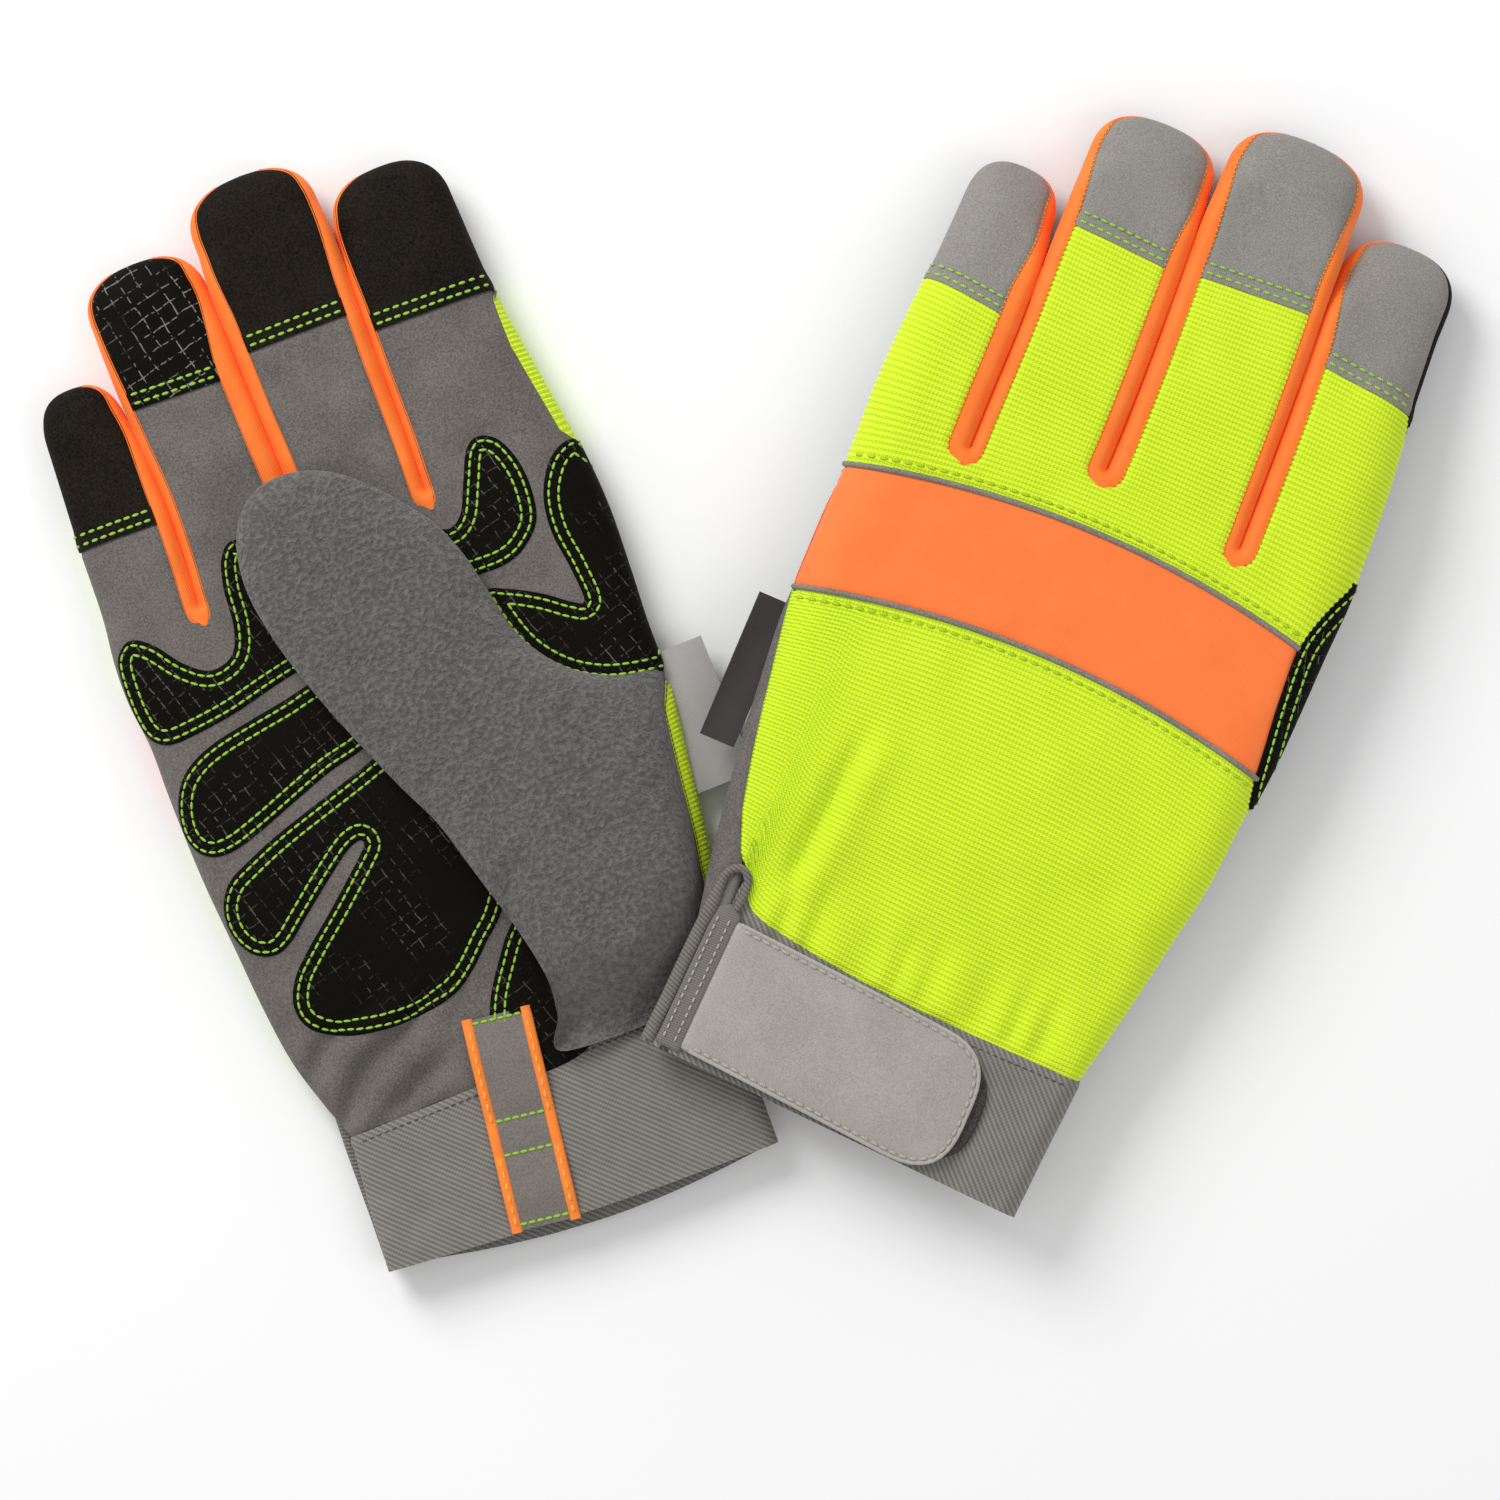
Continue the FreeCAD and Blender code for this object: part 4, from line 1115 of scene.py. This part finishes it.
def back_pieces(glove):
    """Lime back panel, knuckle band, and the piping and stitches in the band's seams."""
    low, band_low, band_high = cuff_seam(glove), seam_curve(BAND_LOW_Y), seam_curve(BAND_HIGH_Y)
    count = rib_rows(BAND_LOW_Y - CUFF_TOP_Y)
    points, u, y, seam = hand_panel(glove, 1, low, band_low, count, 70)
    height = ribbed(count) + tuck(seam)
    height = height + tuck(band_low(u) - y, 0.5, 1.6) + tuck(y - low(u), 0.5, 1.6)
    # the rib heights also go to the knit as relief, for its painted shade in the valleys and
    # painted highlight on the crests
    hand_piece(glove, "back_panel", sheet(points, 1, height), "lime", "ribbed_lime",
               "back_lower_panel", relief=np.broadcast_to(ribbed(count) / RIB_HEIGHT, u.shape))
    points, u, y, seam = hand_panel(glove, 1, band_low, band_high, 40)
    height = tuck(seam) + tuck(np.minimum(y - band_low(u), band_high(u) - y), 0.45, 1.4) + 0.15
    hand_piece(glove, "band_panel", sheet(points, 1, height), "band", "orange_stretch",
               "knuckle_band")
    tubes, rows = [], []
    base = on_skin(glove, 1)
    for line, above in ((band_low, -2.6), (band_high, 2.6)):
        y_left, y_right = line(-BAND_HALF_W), line(BAND_HALF_W)
        start = float(glove["XL"](y_left) + glove["seam_l"](y_left)) + 0.1
        end = float(glove["XR"](y_right) - glove["seam_r"](y_right)) - 0.1
        u = start + (end - start) * bell(110)
        point, out = base(u, line(u))
        tubes.append(tube(point + out * 0.05, out, 0.72, 0.72))
        u = np.linspace(start + 1, end - 1, 60)
        rows.append(np.stack([u, line(u) + above], axis=1))
    hand_piece(glove, "piping", join(tubes), "piping", "binding_tape", "piping_and_binding")
    hand_piece(glove, "band_stitches", stitches(rows, base, *STITCHES["band"]), "lime_thread",
               "ribbed_lime")


def palm_pieces(glove):
    """Suede palm up to the fingers' columns, and the fleece lining inside the hand."""
    points, u, y, seam = hand_panel(glove, -1, const(CUFF_TOP_Y), const(COLUMN_JOIN_Y), 100)
    height = tuck(seam) + tuck(y - CUFF_TOP_Y, 0.5, 1.6)
    hand_piece(glove, "palm_fabric", sheet(points, -1, height), "suede", "grey_suede", "palm_panel")
    y = np.linspace(CUFF_TOP_Y + 4, COLUMN_JOIN_Y - 4, 40)[:, None]
    t = bell(40, endpoint=False)
    left, right = glove["XL"](y) + 0.4, glove["XR"](y) - 0.4
    loop = np.concatenate([surface(glove, left + (right - left) * t, y, 1),
                           surface(glove, right - (right - left) * t, y, -1)], axis=1)
    hand_piece(glove, "hand_lining", sheet(loop, 1, -1.25, 2.0, loop=True), "fleece", "fleece",
               "lining")


def pad_pieces(glove):
    """Five grip pads sewn on the palm, each with two rows of stitches."""
    base = on_skin(glove, -1)
    radial = glove["XR"]
    wrap = [(float(radial(y) + glove["seam_r"](y)) + 0.5, y)
            for y in (167, 160, 150, 138, 126, 116, 111)]
    crotch = [(float(radial(109)) + 0.4, 109)] + CROTCH_PAD_INNER + wrap
    outlines = [dense(pad, closed=True)
                for pad in (UPPER_PAD, MIDDLE_PAD, LOWER_PAD, WRIST_PAD, crotch)]
    folds = [glove["XL"]] * 3 + [None, radial]
    parts = [layer(even(line, 0.9), base, 0.55, 0.3, 1.8, 0.8, crown=0.25, fold=fold)
             for line, fold in zip(outlines, folds)]
    pads = hand_piece(glove, "grip_pads", join(parts), "pad", "black_grip", "palm_pads")
    lines = []
    for line in outlines:
        for inset in PAD_ROWS:
            ring = offset(even(line, 0.3), inset)
            ring = ring[ring[:, 1] > CUFF_TOP_Y + 2.5]
            breaks = np.nonzero(np.linalg.norm(np.diff(ring, axis=0), axis=1) > 2.5)[0] + 1
            lines += [run for run in np.split(ring, breaks) if len(run) > 4]
    parts = stitches(lines, base, *STITCHES["pad"])
    hand_piece(glove, "pad_stitches", parts, "green", "black_grip")


def fleece_piece(glove):
    """Fleece thumb folded over the palm, in one with the heel of the hand."""
    outline = dense([point[:2] for point in FLEECE], closed=True)
    margin = 0.6 + 2.4 * (1 - ramp(outline[:, 1], 98, 110))
    outline[:, 0] = np.minimum(outline[:, 0], glove["XR"](outline[:, 1]) - margin)
    frees = dense([(point[2], 0) for point in FLEECE], closed=True)[:, 0]
    spaced = even(outline, 1.0)
    flat, faces = triangles(spaced, 1.05, [0.1, 0.45, 1.1, 2.2, 3.6])
    x, y = flat[:, 0], flat[:, 1]
    depth = nearest(spaced, x, y)[0]
    weight = np.exp(-np.linalg.norm(flat[:, None] - outline[None], axis=2) / 5.0)
    free = np.clip((weight * frees).sum(axis=1) / weight.sum(axis=1), 0, 1)
    off_axis = np.linalg.norm(flat[:, None] - dense(THUMB_AXIS)[None], axis=2).min(axis=1)
    tall = np.maximum(1 - ramp(off_axis, 12, 34), ramp(free, 0.3, 0.9) * ramp(y, 56, 84))
    ground = skin(glove, x, y, -1)
    full = (ground - 1.3) * (1 - tall) + THUMB_FULL_N * tall
    rim = (ground - 0.25) * (1 - free) + (0.5 * (THUMB_FULL_N + THUMB_BACK_N)) * free
    rim = np.minimum(rim, ground - 0.25)
    rounded = np.sqrt(1 - (1 - np.clip(depth / (3.5 + 6.5 * free), 0, 1))**2)
    soft = 0.30 * waves(x, y, 21, 26) + 0.22 * waves(x, y, 22, 9)
    pile = 0.16 * waves(x, 1.5 * y, 23, 3.2, 16) + 0.12 * waves(x, 1.5 * y, 24, 2.1, 16)
    inner = np.clip(depth / 2, 0, 1)
    top = rim + (full - rim) * rounded + (soft * rounded + pile) * inner
    top = np.maximum(top, THUMB_FULL_N - 0.15)
    under = rim + (np.minimum(THUMB_BACK_N, ground - 0.1) - rim) * rounded * free
    under = np.maximum(np.minimum(under, ground - 0.05), top + 0.05 + 0.9 * inner)
    parts = slab(np.stack([x, y, top], axis=1), np.stack([x, y, under], axis=1), faces)
    side = glove["side"]
    piece = make(f"{side}_fleece_thumb", glove, *parts, MATERIALS["fleece"])
    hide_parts(f"{side}_thumb", f"{side}_thumb_heel")
    flat_place(glove, 34, 84)
    flat_place(glove, 14, 134)
    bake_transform(piece)


# ---- cuff, strap, tab and label -----------------------------------------------------------------
def cuff_run(glove, side, start, end, count, low, top):
    """Grid over one stretch of the cuff, between two sides that are functions of y."""
    s, v = bell(count), np.linspace(0, 1, 26)[:, None]
    y = top(0.0) + (low(0.0) - top(0.0)) * v
    for _ in range(4):
        x = start(y) + (end(y) - start(y)) * s
        y = top(x) + (low(x) - top(x)) * v
    return surface(glove, x, y, side)


def cuff_piece(glove):
    """Elastic band, open at both ends and slit on the back. Its lower edge is uneven."""
    def hump(x, start, width):
        return np.sin(np.pi * np.clip((x - start) / width, 0, 1))

    if glove["palm_up"]:
        palm_low = lambda x: -0.6 - 0.062 * (x + 51) - 1.2 * hump(x, -50, 96)
        back_low = lambda x: palm_low(x) - 3.2 * hump(x, -44, 88)
    else:
        back_low = lambda x: 1.6 - 0.046 * (x + 50)
        palm_low = lambda x: 1.2 - 0.040 * (x + 50)
    seam_y, palm_top = cuff_seam(glove), const(CUFF_TOP_Y)

    def back_top(x):
        rise = ramp(x, SLIT_X, SLIT_X + 2.5) * ramp(-x, -59, -44)
        return CUFF_TOP_Y + (seam_y(x) + 0.6 - CUFF_TOP_Y) * rise

    left, right = glove["XL"], glove["XR"]
    points = np.concatenate([
        cuff_run(glove, 1, const(SLIT_X + 1.2), right, 70, back_low, back_top),
        cuff_run(glove, -1, right, left, 60, palm_low, palm_top)[:, 1:],
        cuff_run(glove, 1, left, const(SLIT_X - 1.2), 12, back_low, palm_top)[:, 1:]], axis=1)
    seam = np.abs(points[..., 1] - points[:1, :, 1])
    height = 0.15 + tuck(seam, 0.45) + 0.12 * waves(points[..., 0], points[..., 1], 31, 18)
    hand_piece(glove, "cuff", sheet(points, -1, height, 1.2), "elastic", "elastic", "cuff_band")
    rows = []
    for side, start in ((1, SLIT_X + 4), (-1, -47)):
        line = np.stack([np.linspace(start, 45, 60), np.full(60, CUFF_TOP_Y - 1.9)], axis=1)
        rows.append(stitches([line], on_skin(glove, side), *STITCHES["cuff"]))
    hand_piece(glove, "cuff_stitches", join(rows), "dark_thread", "elastic")


def binding_pieces(glove):
    """Bead of tape round the wrist slit, the soft tongue in it, and the tape beside the strap."""
    head = [(SLIT_X + 0.1 - 3.1 * math.cos(a), 44.4 + 4.2 * math.sin(a))
            for a in np.linspace(0, math.pi, 13)]
    line = dense([(-51.2, 2.4), (-50.6, 14), (-50.1, 28), (-49.6, 38)] + head
                 + [(-43.6, 40), (-44.2, 36.4)], 6)
    x, y = line.T
    level = np.maximum(on_skin(glove, 1)(x, y)[0][:, 2], CUFF_BACK_N - 0.8)
    level = level + 0.6 - 0.9 * ramp(y, 40, 36) * (x > SLIT_X + 0.5)
    path = np.stack([x, y, level], axis=1)
    wide = 1.0 + 0.65 * (1 - ramp(y, 36, 46)) * (x < SLIT_X)
    parts = tube(path, np.tile(UP, (len(path), 1)), wide, 0.6 + 0.4 * wide, 14)
    hand_piece(glove, "slit_binding", parts, "whipped", "binding_tape", "piping_and_binding")
    tongue = dense([(-49.0, 34), (-48.8, 44), (-47.4, 47.2), (-46.0, 46.6), (-45.4, 42),
                    (-45.6, 34)], closed=True)
    parts = layer(tongue, on_level(CUFF_BACK_N - 0.2, 1), 0.9, 1.6, 1.0, 1.6)
    hand_piece(glove, "slit_tongue", parts, "tongue", "elastic")
    tape = corners([(-49.4, 2.6), (-42.6, 2.2), (-41.6, 37.4), (-45.0, 40.2), (-48.2, 38.6)],
                   [0.8, 0.8, 0.8, 1.6, 1.2])
    parts = layer(tape, on_level(CUFF_BACK_N + 0.3, 1), 1.0, 0.4, 1.6, 0.8, crown=0.3)
    hand_piece(glove, "strap_tape", parts, "tape", "binding_tape")
    rows = [np.array([(x, 4.2), (x + 0.5, 20), (x + 0.9, 36.4)]) for x in (-47.9, -45.0)]
    parts = stitches(rows, on_level(CUFF_BACK_N + 1.4, 1), *STITCHES["tape"])
    hand_piece(glove, "tape_stitches", parts, "pale_thread", "binding_tape")


def open_ring(line, inset, left):
    """The line moved inwards, and open where it would pass left of an x."""
    ring = offset(line, inset)
    ring = ring[ring[:, 0] > left]
    gap = np.linalg.norm(np.roll(ring, -1, axis=0) - ring, axis=1).argmax()
    return np.roll(ring, -gap - 1, axis=0)


def strap_pieces(glove):
    """Wrist strap with its hook patch, lying on the back of the cuff."""
    strap_n, slot = CUFF_BACK_N + 1.3, "reflective_strap"
    body = "hand" if glove["palm_up"] else "strap"
    outline = corners([(-43.2, 3.4), (26.6, -2.2), (26.6, 31.6), (0, 33.8), (-42.2, 36.8)],
                      [0.8, 13.5, 13.5, 20.0, 0.8])
    parts = layer(outline, on_level(strap_n, 1), 1.1, 0.0, 2.0, 0.7, crown=0.25)
    hand_piece(glove, "strap", parts, "strap", slot, "wrist_strap", body=body)
    line = even(outline, 0.6)
    border = open_ring(line, 0.5, -41.2)
    path = np.column_stack([border, np.full(len(border), strap_n + 1.0)])
    parts = tube(path, np.tile(UP, (len(path), 1)), 0.5, 0.34, 8)
    hand_piece(glove, "strap_border", parts, "strap_edge", slot, body=body)
    parts = stitches([open_ring(line, 1.5, -40.4)], on_level(strap_n + 1.16, 1), *STITCHES["strap"])
    hand_piece(glove, "strap_stitches", parts, "pale_thread", slot, body=body)
    hook = corners([(0, 4.5), (29.4, 1.5), (29.4, 27.5), (2, 29)], [6, 11, 11, 6])
    parts = layer(hook, on_level(CUFF_BACK_N + 0.4, 1), 0.9, 0.0, 2.0, 0.5)
    hand_piece(glove, "strap_hook_patch", parts, "hook", slot, body=body)


def flat_beads(x, y, n, way, long, wide):
    """A row of stitches that lie level, all in one direction."""
    frames = [np.tile(v, (len(x), 1)) for v in ((way[0], way[1], 0.0), (-way[1], way[0], 0.0), UP)]
    return beads(np.stack([x, y, n], axis=1), *frames, long, wide)


def tab_pieces(glove):
    """Pull tab sewn flat to the palm's side of the cuff, with orange bindings down its edges."""
    half_w, half_l = 6.4, 26.0
    edge_t = half_w + 0.8
    turn = math.radians(-8.5)
    middle = np.array([-9.2, 21.8 if glove["palm_up"] else 28.4])
    along = np.array([-math.sin(turn), math.cos(turn)])
    across = np.array([along[1], -along[0]])
    seams = [-24.6, -7.6, 0.8, 25.0]
    low = float(skin(glove, -9.0, 20.0, -1))

    def level(s, t):
        """x, y and n of the tab's face, s along it and t across it."""
        x, y = (middle[k] + along[k] * s + across[k] * t for k in (0, 1))
        lift = np.zeros(np.shape(s))
        for a, b, top in zip(seams[:-1], seams[1:], (0.9, 0.35, 1.3)):
            lift = lift + top * np.sin(np.pi * np.clip((s - a) / (b - a), 0, 1))**0.8
        return x, y, np.minimum(skin(glove, x, y, -1), low + 0.2) - 0.7 - lift

    s, t = np.meshgrid(np.linspace(-half_l, half_l, 70), np.linspace(-half_w, half_w, 14),
                       indexing="ij")
    parts = sheet(np.stack(level(s, t), axis=-1), -1, 0.0, 0.6)
    hand_piece(glove, "tab", parts, "tab", "elastic", "pull_tab")
    tubes, dashes = [], []
    for sign in (-1, 1):
        x, y, n = level(np.linspace(-half_l - 0.4, half_l + 0.4, 80), sign * edge_t)
        path = np.stack([x, y, n + 0.25], axis=1)
        tubes.append(tube(path, np.tile(-UP, (len(path), 1)), 1.35, 0.75, 12))
        for a, b in (seams[:2], seams[2:]):
            x, y, n = level(np.arange(a + 1, b - 0.5, 2.9), sign * (edge_t - 0.1))
            dashes.append(flat_beads(x, y, n - 0.5, along, 1.9, 0.3))
    hand_piece(glove, "tab_binding", join(tubes), "tab_edge", "orange_stretch")
    hand_piece(glove, "tab_edge_stitches", join(dashes), "orange_thread", "orange_stretch")
    dashes = []
    for seam in seams:
        spots = np.arange(-5.2, 5.3, 2.05)
        x, y, n = level(np.full(len(spots), seam), spots)
        dashes.append(flat_beads(x, y, n - 0.1, across, 1.8, 0.36))
    hand_piece(glove, "tab_cross_stitches", join(dashes), "green", "elastic")


def label_piece(glove):
    """Plain woven label, sewn into the side seam and curling a little."""
    if glove["palm_up"]:
        sewn_x, free_x, y0, y1, material = 59.6, 74.4, 78.5, 113.6, "grey_label"
    else:
        sewn_x, free_x, y0, y1, material = -59.4, -68.2, 74.5, 111.4, "dark_label"
    x, y = np.meshgrid(np.linspace(*sorted((sewn_x, free_x)), 16), np.linspace(y0, y1, 24))
    out = np.abs(x - sewn_x) / abs(free_x - sewn_x)
    curl = 1.4 * np.sin(2.2 * out + 0.06 * (y - y0)) * out
    middle = 0.5 * (skin(glove, sewn_x, y, 1) + skin(glove, sewn_x, y, -1))
    parts = sheet(np.stack([x, y, middle - curl], axis=-1), 1, 0.3, 0.3)
    hand_piece(glove, "label", parts, material, "label_cloth", "side_label")


# ---- the set ------------------------------------------------------------------------------------
for side_name, glove in GLOVES.items():
    glove["side"] = side_name
    prepare(glove)
    for finger in glove["fingers"]:
        for build in (finger_back, finger_palm, finger_sides, tip_stitches):
            build(glove, finger)
    for build in (back_pieces, palm_pieces, pad_pieces, fleece_piece, cuff_piece, binding_pieces,
                  strap_pieces, tab_pieces, label_piece):
        build(glove)

# ---- floor, light and camera --------------------------------------------------------------------
FLOOR_HALF = 3.0
KEY_LIGHT = ("key", (-0.85, 1.0, 1.0), 0.9, 19.0)     # name, place, size in metres and power
FILL_LIGHT = ("fill", (1.2, -0.6, 1.5), 1.2, 4.0)
FRAME_WIDTH = 0.36
CAMERA_PLACE = (0.00106, -0.0122)
CAMERA_HEIGHT = 1.5
UPPER_FACE_Z = 0.014     # the frame's width is measured at the height of the gloves' upper faces


def add_object(name, data):
    """An object that shows in the scene."""
    item = bpy.data.objects.new(name, data)
    bpy.context.collection.objects.link(item)
    return item


def set_inputs(owner, node, **values):
    """Gives a node's inputs their values, where _ stands for a space in an input's name."""
    owner.use_nodes = True
    for key, value in values.items():
        owner.node_tree.nodes[node].inputs[key.replace("_", " ")].default_value = value


floor_mesh = bpy.data.meshes.new("floor")
square = [(x * FLOOR_HALF, y * FLOOR_HALF, 0) for x, y in ((-1, -1), (1, -1), (1, 1), (-1, 1))]
floor_mesh.from_pydata(square, [], [(0, 1, 2, 3)])
paper = bpy.data.materials.new("white_paper")
set_inputs(paper, "Principled BSDF", Base_Color=(0.95, 0.95, 0.95, 1), Roughness=1.0,
           Specular_IOR_Level=0.0)
floor_mesh.materials.append(paper)
add_object("floor", floor_mesh)

world = bpy.data.worlds.new("studio")
bpy.context.scene.world = world
set_inputs(world, "Background", Color=(1, 1, 1, 1), Strength=0.6)

for name, where, size, power in (KEY_LIGHT, FILL_LIGHT):
    light = bpy.data.lights.new(name, "AREA")
    light.shape, light.size, light.energy = "DISK", size, power
    lamp = add_object(name, light)
    lamp.location = where
    lamp.rotation_euler = Vector(where).to_track_quat("Z", "Y").to_euler()

camera_data = bpy.data.cameras.new("camera")
camera_data.sensor_width = 36.0
camera_data.lens = camera_data.sensor_width * CAMERA_HEIGHT / FRAME_WIDTH
camera = add_object("camera", camera_data)
camera.location = (*CAMERA_PLACE, CAMERA_HEIGHT + UPPER_FACE_Z)
bpy.context.scene.camera = camera
bpy.context.scene.view_settings.view_transform = "Standard"
